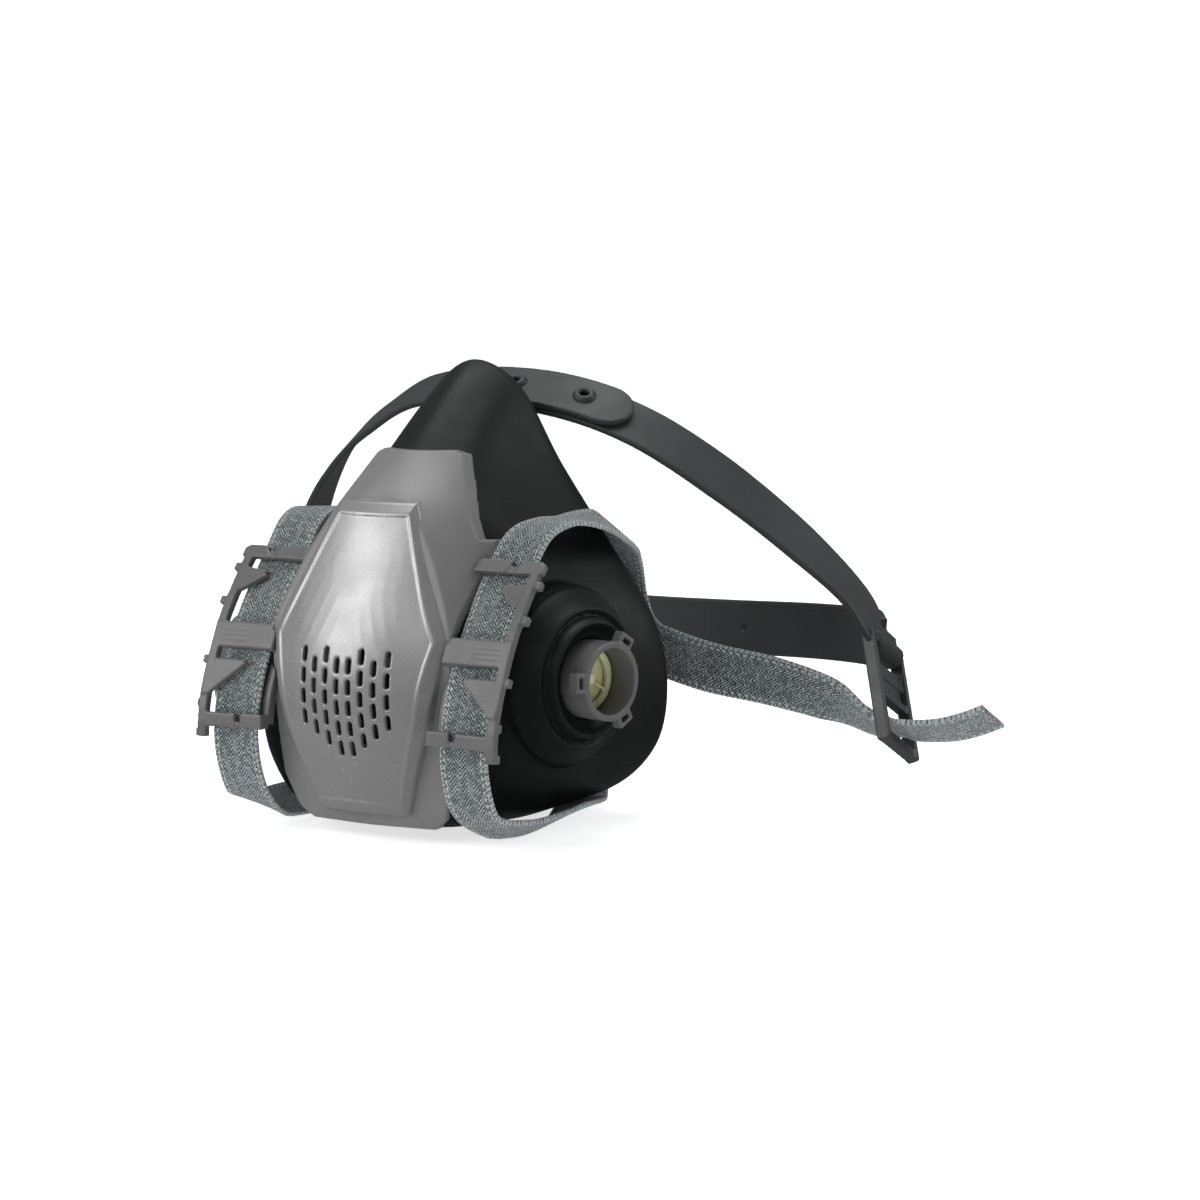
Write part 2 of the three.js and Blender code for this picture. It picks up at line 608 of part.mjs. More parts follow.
// The webbing's turn through the buckle and round its lower bar, and its free end.
const BAR_BACK = BAR_DIR.clone().negate();
const buckleKey = (down, out) => ({ point: bucklePoint(down, out), side: BAR_BACK });
const BUCKLE_TURN = [
  key(118, 121.9, -37.6, V(-0.1, -0.8, 0.56)),
  buckleKey(BUCKLE_LENGTH - 7.6, -2.6),
  buckleKey(BUCKLE_LENGTH - 6.2, 0.6),
  buckleKey(BUCKLE_LENGTH - 4, 3.8),
];
const LONG_TAIL = [
  ...BUCKLE_TURN,
  key(143.1, 119, -36.6, BAR_BACK),
  key(151, 120, -34.4, BAR_BACK),
  key(158.6, 121, -31.2, BAR_BACK),
];
const FOLDED_TAIL = [
  ...BUCKLE_TURN,
  buckleKey(BUCKLE_LENGTH + 4, 6.2),
  key(131, 124, -50.6, BAR_BACK),
  key(122, 131, -54, V(-0.3, -0.8, 0.2)),
  key(112, 137, -54.6, V(-0.5, -0.8, 0)),
];

// ---------------------------------------------------------------- head cradle
const crownPoint = (x, z) => V(x, 130 - 0.55 * z, z);
const lean = (x, y, z) => V(x, y, z).normalize();

// Half of the crown band's middle line, from the top of the arch down to the corner.
const CROWN_HALF = [
  { point: crownPoint(0, 68.6), side: CROWN_LEAN },
  { point: crownPoint(26, 66), side: CROWN_LEAN },
  { point: crownPoint(50, 57.8), side: CROWN_LEAN },
  { point: crownPoint(74, 41.6), side: CROWN_LEAN },
  { point: crownPoint(95.5, 20), side: lean(0, 0.95, 0.3) },
  { point: crownPoint(107.6, 3), side: lean(0.05, 0.98, -0.1) },
  { point: V(112.8, 133.2, -9.6), side: BAR_DIR },
];
const CROWN_SHIFT = -5; // the top of the arch sits slightly to the wearer's right

const CROWN_KEYS = [...mirrorKeys(CROWN_HALF.slice(1)).reverse(), ...CROWN_HALF];
CROWN_KEYS.forEach(({ point }) => {
  point.x += CROWN_SHIFT * smooth(-9.6, 50, point.z);
});
const TAB_END = 0.655; // where the overlapping tab stops, as a share of the crown band's path
const UNDER_START = 0.44; // where the band underneath it starts
const STUD_AT = [0.525, 0.602]; // shares of the path where the two size studs sit
const BAND_STACK = BAND_THICK + GAP;


function makeUpperCrownBand() {
  const raise = (share) => BAND_STACK * smooth(0.5, UNDER_START / TAB_END - 0.04, share);
  return strip(CROWN_KEYS, BAND_WIDTH, BAND_THICK, 34, { from: 0.035, to: TAB_END, raise, endTaper: 0.3 });
}

function makeLowerCrownBand() {
  return strip(CROWN_KEYS, BAND_WIDTH, BAND_THICK, 30, { from: 0.965, to: UNDER_START, endTaper: 0.3 });
}

const REAR_HALF = [
  key(0, 188, -19.6, V(0, 0.1, 1)),
  key(32, 185, -18.8, V(0, 0.1, 1)),
  key(66, 174.5, -16.6, V(0, 0.1, 1)),
  key(93, 156.5, -14, V(0, 0.05, 1)),
  key(107.5, 143.5, -12.6, V(0.05, 0, 1)),
];

function makeRearBand() {
  const keys = [...mirrorKeys(REAR_HALF.slice(1)).reverse(), ...REAR_HALF];
  let band = solid(strip(keys, BAND_WIDTH, BAND_THICK, 40));
  for (const u of [0.36, 0.62]) {
    const { point, face } = sampler(keys)(u);
    band = band.subtract(solid(revolve(ringless(1.3, -4, 4), point, face, 16)));
  }
  return geometryOf(band);
}

// A press stud through both layers of the crown band: a low ring outside, a button inside.
function makeStud(share) {
  const { point, face } = sampler(CROWN_KEYS)(share);
  const top = BAND_THICK / 2 + BAND_STACK + GAP;
  return revolve([
    [1.5, top - 0.2], [1.5, top + 1.4], [2.4, top + 1.8], [3.4, top + 1.2], [3.8, top], [1.5, top - 0.2],
  ], point, face, 20);
}

// The moulded corner of the cradle: a sleeve for the buckle's upper bar, and its root.
const SLEEVE_INNER = 2.2;
const SLEEVE_OUTER = 4;
const SLEEVE_LENGTH = 15;

function makeEndLoop() {
  const half = SLEEVE_LENGTH / 2;
  const sleeve = revolve(ringProfile(SLEEVE_INNER, SLEEVE_OUTER, -half, half), BUCKLE_TOP, BAR_DIR, 28);
  const upward = BUCKLE_DOWN.clone().negate();
  const root = place(box(SLEEVE_LENGTH, 5, 4.4, 0, SLEEVE_OUTER + 0.4, 0), BUCKLE_TOP, BAR_DIR, upward);
  let body = solid(sleeve).add(solid(root));
  body = body.subtract(solid(revolve(ringless(SLEEVE_INNER, -half - 2, half + 2), BUCKLE_TOP, BAR_DIR, 28)));
  return geometryOf(body);
}

// ---------------------------------------------------------------- adjuster buckle
const BUCKLE_WIDTH = 21.8;
const BUCKLE_RAIL = 2.2;
const BUCKLE_DEPTH = 4.4;

function makeBuckle() {
  const down = (y0, y1) => (y0 + y1) / 2;
  const part = (width, y0, y1, depth, x = 0, out = 0) => solid(place(
    box(width, y1 - y0, depth, x, down(y0, y1), out), BUCKLE_TOP, BAR_DIR, BUCKLE_DOWN));
  const railX = BUCKLE_WIDTH / 2 - BUCKLE_RAIL / 2;
  const half = BUCKLE_WIDTH / 2;
  const pieces = [
    part(BUCKLE_RAIL, -2.6, BUCKLE_LENGTH + 1.6, BUCKLE_DEPTH, railX),
    part(BUCKLE_RAIL, -2.6, BUCKLE_LENGTH + 1.6, BUCKLE_DEPTH, -railX),
    solid(revolve(ringless(1.7, -half + 0.5, half - 0.5), BUCKLE_TOP, BAR_DIR, 20)),
    part(BUCKLE_WIDTH, BUCKLE_LENGTH - 1.6, BUCKLE_LENGTH + 2, 3.4),
    part(BUCKLE_WIDTH, 7.5, 12.5, 2.6, 0, 0.4),
    part(BUCKLE_WIDTH - 1, 17.6, 20.4, 3),
    part(BUCKLE_WIDTH - 6, 12, 18.4, 1.6, 0, 0.4),
  ];
  return geometryOf(joined(pieces));
}

// ---------------------------------------------------------------- neck clasp
const CLASP_Y = 96;
const CLASP_Z = -54;

function makeClaspHook() {
  const plate = solid(box(10, 2.4, 17, 9.4, CLASP_Y, CLASP_Z));
  const neck = solid(box(14, 2.4, 6, 0, CLASP_Y, CLASP_Z));
  const catchBar = solid(box(2.4, 4.4, 10, -6.6, CLASP_Y - 1, CLASP_Z));
  return geometryOf(plate.add(neck).add(catchBar));
}

function makeClaspLoop() {
  const frame = extrude(rectangle(-15, -1, -8.5, 8.5), 6.4, [], 4).rotateX(Math.PI / 2);
  const opening = box(10.4, 5.4, 10.8, -6.3, -1, 0);
  const mouth = box(9, 3, 6.8, 0, 0, 0);
  const body = solid(frame).subtract(solid(opening)).subtract(solid(mouth));
  return geometryOf(body).translate(0, CLASP_Y, CLASP_Z);
}

// ---------------------------------------------------------------- assembly
const mask = new THREE.Group();

function addPiece(name, geometry, colour) {
  const [color, roughness, metalness] = COLOURS[colour];
  geometry.computeVertexNormals();
  const mesh = new THREE.Mesh(geometry, new THREE.MeshStandardMaterial({ color, roughness, metalness }));
  mesh.name = name;
  mask.add(mesh);
}

// Adds a piece on the wearer's left and its mirror image on the right.
function addPair(name, geometry, colour) {
  addPiece(`left_${name}`, geometry, colour);
  addPiece(`right_${name}`, mirrorGeometry(geometry), colour);
}

addPiece('facepiece', makeFacepiece(), 'silicone');
addPiece('yoke', makeYoke(), 'plastic');
addPiece('valve_shield', makeShield(), 'shield');
addPiece('exhalation_seat', makeExhalationSeat(), 'plastic');
addPiece('exhalation_flap', makeExhalationFlap(), 'flap');
addPair('strap_frame', makeStrapFrame(), 'plastic');
addPair('bayonet_port', makePort(), 'plastic');
addPair('port_gasket', makeGasket(), 'gasket');
addPair('port_retainer', makeRetainer(), 'plastic');
addPair('inhalation_seat', makeInhalationSeat(), 'flap');
addPair('inhalation_flap', makeInhalationFlap(), 'flap');
addPair('mask_webbing', strip(MASK_WEB, WEB_WIDTH, WEB_THICK, 76), 'webbing');
addPair('cradle_webbing', strip(CRADLE_WEB, WEB_WIDTH, WEB_THICK, 20), 'webbing');
addPiece('left_webbing_tail', strip(LONG_TAIL, WEB_WIDTH, WEB_THICK, 24), 'webbing');
addPiece('right_webbing_tail', mirrorGeometry(strip(FOLDED_TAIL, WEB_WIDTH, WEB_THICK, 24)), 'webbing');
addPair('adjuster_buckle', makeBuckle(), 'buckle');
addPair('cradle_corner', makeEndLoop(), 'cradle');
addPiece('crown_band_upper', makeUpperCrownBand(), 'cradle');
addPiece('crown_band_lower', makeLowerCrownBand(), 'cradle');
addPiece('rear_band', makeRearBand(), 'cradle');
STUD_AT.forEach((share, i) => addPiece(`crown_stud_${i + 1}`, makeStud(share), 'cradle'));
addPiece('neck_clasp_hook', makeClaspHook(), 'buckle');
addPiece('neck_clasp_loop', makeClaspLoop(), 'buckle');

const bounds = new THREE.Box3().setFromObject(mask);
const middle = bounds.getCenter(new THREE.Vector3());
mask.position.set(-middle.x, -middle.y, -bounds.min.z);

export default mask;
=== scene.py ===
# Looks of a half-mask respirator with an adjustable head harness.
import math

import bmesh
import bpy
import numpy as np
from mathutils import Matrix, Vector


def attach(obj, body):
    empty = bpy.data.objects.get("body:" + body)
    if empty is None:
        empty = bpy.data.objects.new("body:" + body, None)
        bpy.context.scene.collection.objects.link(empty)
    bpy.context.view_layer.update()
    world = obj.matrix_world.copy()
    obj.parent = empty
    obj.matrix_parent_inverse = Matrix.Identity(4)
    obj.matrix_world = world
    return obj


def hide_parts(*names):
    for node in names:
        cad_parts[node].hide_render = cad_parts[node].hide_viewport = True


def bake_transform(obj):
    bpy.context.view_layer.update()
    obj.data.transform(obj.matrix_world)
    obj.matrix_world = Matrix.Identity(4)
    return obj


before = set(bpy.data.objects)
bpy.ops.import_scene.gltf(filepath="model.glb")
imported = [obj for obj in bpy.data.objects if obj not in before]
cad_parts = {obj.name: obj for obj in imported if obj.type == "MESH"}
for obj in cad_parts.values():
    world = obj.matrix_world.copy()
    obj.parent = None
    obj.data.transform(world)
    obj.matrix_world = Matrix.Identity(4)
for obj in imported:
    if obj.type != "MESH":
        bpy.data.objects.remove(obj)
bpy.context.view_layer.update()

# Shapes are made in millimetres about the middle of the valve shield, then moved into the row frame.
SHIFT = np.array([-9.34845, -90.78323, 64.81314])


def to_row(point):
    return Vector((np.asarray(point, float) + SHIFT) / 1000)


# ---------------------------------------------------------------- camera
CAMERA_AT = (547.42, -798.61, 137.04)
CAMERA_AZIMUTH = math.radians(30)
CAMERA_ELEVATION = math.radians(7.5)
CAMERA_ROLL = math.radians(-0.481)


def make_camera():
    data = bpy.data.cameras.new("camera")
    data.sensor_width = 36
    data.lens = 96
    data.clip_start = 0.05
    data.clip_end = 20
    camera = bpy.data.objects.new("camera", data)
    bpy.context.scene.collection.objects.link(camera)
    a, e = CAMERA_AZIMUTH, CAMERA_ELEVATION
    back = Vector((math.sin(a) * math.cos(e), -math.cos(a) * math.cos(e), math.sin(e)))
    right = (-back).cross(Vector((0, 0, 1))).normalized()
    up = right.cross(-back)
    c, s = math.cos(CAMERA_ROLL), math.sin(CAMERA_ROLL)
    right, up = right * c + up * s, up * c - right * s
    turn = Matrix((right, up, back)).transposed().to_4x4()
    camera.matrix_world = Matrix.Translation(to_row(CAMERA_AT)) @ turn
    bpy.context.scene.camera = camera


make_camera()

# ---------------------------------------------------------------- curves and meshes
MIRROR = np.array([-1.0, 1.0, 1.0])


def unit(v):
    v = np.asarray(v, float)
    return v / np.linalg.norm(v, axis=-1, keepdims=True)


def catmull(points, ts, closed=False):
    """Centripetal Catmull-Rom points at ts, from 0 to 1, through points of shape (n, ..., 3)."""
    p = np.asarray(points, float)
    n = len(p)
    span = np.atleast_1d(ts) * (n if closed else n - 1)
    if closed:
        k = np.floor(span).astype(int) % n
        w = span - np.floor(span)
        q = [p[(k + d) % n] for d in (-1, 0, 1, 2)]
    else:
        k = np.clip(np.floor(span).astype(int), 0, n - 2)
        w = span - k
        wide = np.concatenate([[2 * p[0] - p[1]], p, [2 * p[-1] - p[-2]]])
        q = [wide[k + d] for d in range(4)]
    d = [np.sqrt(np.linalg.norm(q[i + 1] - q[i], axis=-1, keepdims=True)) for i in range(3)]
    d[1] = np.where(d[1] < 1e-4, 1.0, d[1])
    d[0] = np.where(d[0] < 1e-4, d[1], d[0])
    d[2] = np.where(d[2] < 1e-4, d[1], d[2])
    m1 = ((q[1] - q[0]) / d[0] - (q[2] - q[0]) / (d[0] + d[1]) + (q[2] - q[1]) / d[1]) * d[1]
    m2 = ((q[2] - q[1]) / d[1] - (q[3] - q[1]) / (d[1] + d[2]) + (q[3] - q[2]) / d[2]) * d[1]
    w = w.reshape((-1,) + (1,) * (p.ndim - 1))
    return (
        q[1]
        + m1 * w
        + (-3 * q[1] + 3 * q[2] - 2 * m1 - m2) * w**2
        + (2 * q[1] - 2 * q[2] + m1 + m2) * w**3
    )


def new_object(name, verts, faces):
    mesh = bpy.data.meshes.new(name)
    mesh.from_pydata([tuple(v) for v in verts], [], faces)
    made = bpy.data.objects.new(name, mesh)
    bpy.context.scene.collection.objects.link(made)
    work = bmesh.new()
    work.from_mesh(mesh)
    bmesh.ops.recalc_face_normals(work, faces=work.faces)
    work.to_mesh(mesh)
    work.free()
    return made


def loft(name, rings, start=None, end=None):
    """A closed body through equal rings of points, closed to a point at each end."""
    rings = np.asarray(rings, float)
    count, size = rings.shape[:2]
    verts = [*rings.reshape(-1, 3)]
    verts.append(rings[0].mean(0) if start is None else np.asarray(start, float))
    verts.append(rings[-1].mean(0) if end is None else np.asarray(end, float))
    faces = []
    for i in range(size):
        j = (i + 1) % size
        for r in range(count - 1):
            faces.append((r * size + i, r * size + j, (r + 1) * size + j, (r + 1) * size + i))
        faces.append((count * size, j, i))
        faces.append((count * size + 1, (count - 1) * size + i, (count - 1) * size + j))
    return new_object(name, verts, faces)


def prism(name, outline, depth, place):
    """A prism with a flat outline, turned into place by place(x, y, depth)."""
    n = len(outline)
    verts = [place(x, y, -depth / 2) for x, y in outline] + [place(x, y, depth / 2) for x, y in outline]
    faces = [tuple(range(n)), tuple(range(2 * n - 1, n - 1, -1))]
    faces += [(i, n + i, n + (i + 1) % n, (i + 1) % n) for i in range(n)]
    return new_object(name, verts, faces)


def axes_about(axis):
    axis = unit(axis)
    side = unit(np.cross((0, 0, 1), axis)) if abs(axis[2]) < 0.9 else np.array([1.0, 0, 0])
    return axis, side, np.cross(axis, side)


def revolve(name, profile, centre, axis, segments=96, ring=False):
    """A body of revolution from (radius, distance) pairs; ring is one with a hole down its middle."""
    axis, side, up = axes_about(axis)
    turns = np.arange(segments) * 2 * math.pi / segments
    spokes = np.outer(np.cos(turns), side) + np.outer(np.sin(turns), up)
    rings = [np.asarray(centre) + spokes * r + axis * d for r, d in profile]
    if not ring:
        rings = [r for r, (radius, _) in zip(rings, profile) if radius > 0]
        ends = [np.asarray(centre) + axis * profile[i][1] for i in (0, -1)]
        return loft(name, rings, *ends)
    size = segments
    verts = [v for r in rings for v in r]
    faces = []
    for r in range(len(rings)):
        s = (r + 1) % len(rings)
        for i in range(size):
            j = (i + 1) % size
            faces.append((r * size + i, r * size + j, s * size + j, s * size + i))
    return new_object(name, verts, faces)


def tube(inner, outer, start, end):
    return [(inner, start), (outer, start), (outer, end), (inner, end)]


def rod(radius, start, end):
    return [(radius, start), (radius, end)]


def bake(obj):
    """Applies an object's modifiers."""
    made = bpy.data.meshes.new_from_object(obj.evaluated_get(bpy.context.evaluated_depsgraph_get()))
    old = obj.data
    obj.modifiers.clear()
    obj.data = made
    bpy.data.meshes.remove(old)
    return obj


def combine(obj, others, operation):
    for other in others:
        change = obj.modifiers.new("combine", "BOOLEAN")
        change.solver = "MANIFOLD"
        change.operation = operation
        change.object = other
    bake(obj)
    for other in others:
        bpy.data.meshes.remove(other.data)
    return obj


# The cell size in mm of each piece's skin, and how many times the skin is smoothed.
SKINS = {
    "facepiece": (0.6, 4), "yoke": (0.36, 8), "shield": (0.36, 3), "port": (0.3, 2), "guide": (0.36, 3),
    "seat": (0.25, 2), "cradle": (0.45, 3), "buckle": (0.32, 2), "clasp": (0.35, 2),
}


def soften(obj, kind):
    """One skin over everything in obj, with its edges rounded to about the size of a cell."""
    cell, repeats = SKINS[kind]
    skin = obj.modifiers.new("skin", "REMESH")
    skin.mode = "VOXEL"
    skin.voxel_size = cell
    skin.use_smooth_shade = True
    relax = obj.modifiers.new("relax", "SMOOTH")
    relax.factor = 0.5
    relax.iterations = repeats
    return bake(obj)


def cad_copy(node):
    """The shape of a CAD node as a new object, in millimetres about the shield."""
    made = bpy.data.objects.new(node + "_copy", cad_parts[node].data.copy())
    bpy.context.scene.collection.objects.link(made)
    work = bmesh.new()
    work.from_mesh(made.data)
    bmesh.ops.scale(work, vec=(1000, 1000, 1000), verts=work.verts)
    bmesh.ops.translate(work, vec=Vector(-SHIFT), verts=work.verts)
    bmesh.ops.remove_doubles(work, verts=work.verts, dist=2e-3)
    bmesh.ops.recalc_face_normals(work, faces=work.faces)
    work.to_mesh(made.data)
    work.free()
    return made


def merge(obj, others):
    """Puts other meshes into obj without cutting them."""
    work = bmesh.new()
    for part in [obj, *others]:
        work.from_mesh(part.data)
    work.to_mesh(obj.data)
    work.free()
    for other in others:
        bpy.data.meshes.remove(other.data)
    return obj


def mirror_copy(obj, name):
    made = bpy.data.objects.new(name, obj.data.copy())
    bpy.context.scene.collection.objects.link(made)
    made.data.transform(Matrix.Diagonal((-1, 1, 1, 1)))
    made.data.flip_normals()
    return made


def settle(obj, name, body, material, nodes, bend=None):
    """Moves a piece made in millimetres into the row frame and, unless it has a bend, onto its body."""
    obj.name = name
    obj.data.name = name
    obj.data.transform(Matrix.Scale(0.001, 4) @ Matrix.Translation(Vector(SHIFT)))
    obj.data.materials.clear()
    obj.data.materials.append(material)
    obj.data.polygons.foreach_set("use_smooth", [True] * len(obj.data.polygons))
    obj.data.update()
    if bend:
        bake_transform(obj)
    else:
        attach(obj, body)
    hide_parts(*nodes)
    return obj


# ---------------------------------------------------------------- materials
class Shader:
    """A principled material and short ways to add nodes to it."""

    def __init__(self, name, color, roughness, **values):
        self.material = bpy.data.materials.new(name)
        self.material.use_nodes = True
        self.tree = self.material.node_tree
        self.main = self.tree.nodes["Principled BSDF"]
        self.main.inputs["Base Color"].default_value = (*color, 1)
        self.main.inputs["Roughness"].default_value = roughness
        for key, value in values.items():
            self.main.inputs[key.replace("_", " ")].default_value = value
        self.coords = self.add("ShaderNodeTexCoord").outputs["Object"]

    def add(self, kind, inputs=(), **settings):
        node = self.tree.nodes.new(kind)
        for key, value in settings.items():
            setattr(node, key, value)
        for key, value in dict(inputs).items():
            if isinstance(value, bpy.types.NodeSocket):
                self.tree.links.new(value, node.inputs[key])
            else:
                node.inputs[key].default_value = value
        return node

    def noise(self, scale, detail=3.0, roughness=0.55):
        inputs = {"Vector": self.coords, "Scale": scale, "Detail": detail, "Roughness": roughness}
        return self.add("ShaderNodeTexNoise", inputs).outputs["Fac"]

    def math(self, operation, a, b=0.0):
        return self.add("ShaderNodeMath", {0: a, 1: b}, operation=operation).outputs[0]

    def wave(self, value, rate):
        return self.math("SINE", self.math("MULTIPLY", value, rate))

    def spread(self, value, low, high, to_low=0.0, to_high=1.0):
        inputs = {"Value": value, "From Min": low, "From Max": high, "To Min": to_low, "To Max": to_high}
        return self.add("ShaderNodeMapRange", inputs).outputs["Result"]

    def mix(self, share, a, b):
        node = self.add("ShaderNodeMix", data_type="RGBA")
        for socket, value in ((node.inputs[0], share), (node.inputs[6], a), (node.inputs[7], b)):
            if isinstance(value, bpy.types.NodeSocket):
                self.tree.links.new(value, socket)
            else:
                socket.default_value = value if socket == node.inputs[0] else (*value, 1)
        return node.outputs[2]

    def link(self, value, socket):
        self.tree.links.new(value, self.main.inputs[socket])

    def bump(self, height, strength, distance, under=None):
        inputs = {"Height": height, "Strength": strength, "Distance": distance}
        if under:
            inputs["Normal"] = under
        return self.add("ShaderNodeBump", inputs).outputs["Normal"]

    def edges(self, low, high):
        return self.spread(self.add("ShaderNodeNewGeometry").outputs["Pointiness"], low, high)


def moulded(name, color, light, roughness, grain, grain_depth, edge_highlight_peak=0.5, **values):
    """Moulded rubber or plastic: fine grain, uneven gloss, faint mottling and a painted highlight on convex
    edges.
    """
    s = Shader(name, color, roughness, **values)
    mottle = s.spread(s.noise(38, 4), 0.35, 0.7, 0.0, 0.35)
    tone = s.mix(mottle, color, light)
    # Painted highlight: convex edges, found by pointiness and broken up by noise, are mixed towards a paler
    # tone.
    painted_edge_highlight = s.math("MULTIPLY", s.edges(0.52, 0.62), s.spread(s.noise(160), 0.35, 0.75, 0.1, edge_highlight_peak))
    tone = s.mix(painted_edge_highlight, tone, tuple(min(1, 1.5 * c + 0.01) for c in light))
    s.link(tone, "Base Color")
    s.link(s.spread(s.noise(70, 5), 0.3, 0.7, roughness - 0.05, roughness + 0.08), "Roughness")
    fine = s.bump(s.noise(grain, 2), 0.35, grain_depth)
    s.link(s.bump(s.noise(120, 2), 0.12, 0.00012, fine), "Normal")
    return s.material


# Waves of the weave, in radians per mm, and places across the strap in mm.
TWILL_WAVE, ENDS_WAVE, PICKS_WAVE, SCALLOP_WAVE, STITCH_WAVE, CORD_WAVE = 5.0, 9.8, 7.4, 3.4, 2.7, 6.0
ZIGZAG_WIDTH, ZIGZAG_LEAN = 2.05, 1.25
STITCH_LINE, SELVEDGE = 6.55, 7.3
PAST_EDGE = 40.0


def webbing(name, dark, light):
    """Woven polyester: a herringbone of fine picks, scalloped edges, a line of stitches and fuzz.

    It reads each point's place across and along the strap, in mm, from the mesh."""
    s = Shader(name, dark, 0.86, Sheen_Weight=0.25, Sheen_Roughness=0.5)
    place = s.add("ShaderNodeAttribute", attribute_name="strap").outputs["Vector"]
    split = s.add("ShaderNodeSeparateXYZ", {0: place}).outputs
    across, along = split[0], split[1]
    zigzag = s.math("PINGPONG", s.math("ADD", across, PAST_EDGE), ZIGZAG_WIDTH)
    twill = s.wave(s.math("ADD", s.math("MULTIPLY", zigzag, ZIGZAG_LEAN), along), TWILL_WAVE)
    grid = s.math("MULTIPLY", s.wave(across, ENDS_WAVE), s.wave(along, PICKS_WAVE))
    weave = s.math("ADD", s.math("MULTIPLY", twill, 0.6), s.math("MULTIPLY", grid, 0.4))
    share = s.spread(weave, -0.1, 0.55)
    fleck = s.spread(s.noise(700, 2), 0.38, 0.6, 0.3, 1.0)
    tone = s.mix(s.math("MULTIPLY", share, fleck), dark, light)
    reach = s.math("ABSOLUTE", across)
    edge = s.spread(reach, SELVEDGE, SELVEDGE + 0.3)
    scallop = s.spread(s.wave(along, SCALLOP_WAVE), -1.0, 1.0, 0.1, 0.75)
    tone = s.mix(s.math("MULTIPLY", edge, scallop), tone, light)
    line = s.spread(s.math("ABSOLUTE", s.math("SUBTRACT", reach, STITCH_LINE)), 0.2, 0.42, 1.0, 0.0)
    dash = s.spread(s.wave(along, STITCH_WAVE), -0.1, 0.3)
    tone = s.mix(s.math("MULTIPLY", line, s.math("MULTIPLY", dash, 0.75)), tone, light)
    dust = s.spread(s.noise(45, 4), 0.4, 0.75, 0.0, 0.1)
    s.link(s.mix(dust, tone, light), "Base Color")
    cord = s.math("MULTIPLY", edge, s.wave(along, CORD_WAVE))
    height = s.math("ADD", weave, s.math("MULTIPLY", cord, 0.6))
    fuzz = s.bump(s.noise(2600, 2), 0.3, 0.00008)
    s.link(s.bump(height, 0.85, 0.00016, fuzz), "Normal")
    return s.material


def flaked(name, color, light, roughness):
    """Silver-tinted plastic with a fine metallic flake under a satin surface, and a painted highlight on
    convex edges.
    """
    s = Shader(name, color, roughness, Metallic=0.5, Coat_Weight=0.1, Coat_Roughness=0.35)
    flake = s.add("ShaderNodeTexVoronoi", {"Vector": s.coords, "Scale": 4200.0}).outputs["Color"]
    value = s.add("ShaderNodeSeparateColor", {0: flake}).outputs[0]
    tone = s.mix(s.spread(value, 0.0, 1.0, 0.0, 0.4), color, light)
    cloud = s.spread(s.noise(26, 4), 0.35, 0.7, 0.0, 0.25)
    tone = s.mix(cloud, tone, tuple(c * 0.86 for c in color))
    # Painted highlight: convex edges are mixed towards a paler tone.
    painted_edge_highlight = s.math("MULTIPLY", s.edges(0.53, 0.62), 0.4)
    s.link(s.mix(painted_edge_highlight, tone, tuple(min(1, c * 1.35) for c in light)), "Base Color")
    s.link(s.spread(s.noise(90, 5), 0.3, 0.7, roughness - 0.04, roughness + 0.07), "Roughness")
    s.link(s.bump(s.noise(1500, 2), 0.16, 0.00003), "Normal")
    return s.material


# A moulded look's last number before its keywords is the peak of its painted edge highlight.
SILICONE = moulded("black_silicone", (0.005, 0.0065, 0.0064), (0.013, 0.0175, 0.017), 0.48, 1400, 0.00004,
                   0.3, Specular_IOR_Level=0.22)
CRADLE = moulded("grey_rubber", (0.022, 0.0275, 0.0265), (0.036, 0.043, 0.042), 0.5, 1300, 0.00004, 0.3,
                 Specular_IOR_Level=0.4)
PLASTIC = moulded("grey_plastic", (0.15, 0.149, 0.15), (0.2, 0.199, 0.2), 0.38, 1900, 0.00003, 0.35)
GUIDE = moulded("dark_grey_plastic", (0.09, 0.0895, 0.09), (0.13, 0.129, 0.13), 0.4, 1900, 0.00003, 0.35)
SHIELD = flaked("silver_plastic", (0.255, 0.254, 0.256), (0.4, 0.398, 0.4), 0.34)
BUCKLE = moulded("buckle_plastic", (0.032, 0.034, 0.035), (0.055, 0.058, 0.06), 0.36, 1700, 0.00003, 0.4)
CLASP = moulded("clasp_plastic", (0.016, 0.017, 0.018), (0.03, 0.032, 0.033), 0.36, 1700, 0.00003, 0.4)
YELLOW = moulded("yellow_rubber", (0.6, 0.6, 0.33), (0.7, 0.7, 0.46), 0.5, 900, 0.00003, 0.2)
GASKET = moulded("black_gasket", (0.012, 0.012, 0.012), (0.025, 0.025, 0.025), 0.6, 900, 0.00003, 0.2)
WEBBING = webbing("grey_webbing", (0.014, 0.022, 0.025), (0.41, 0.465, 0.48))

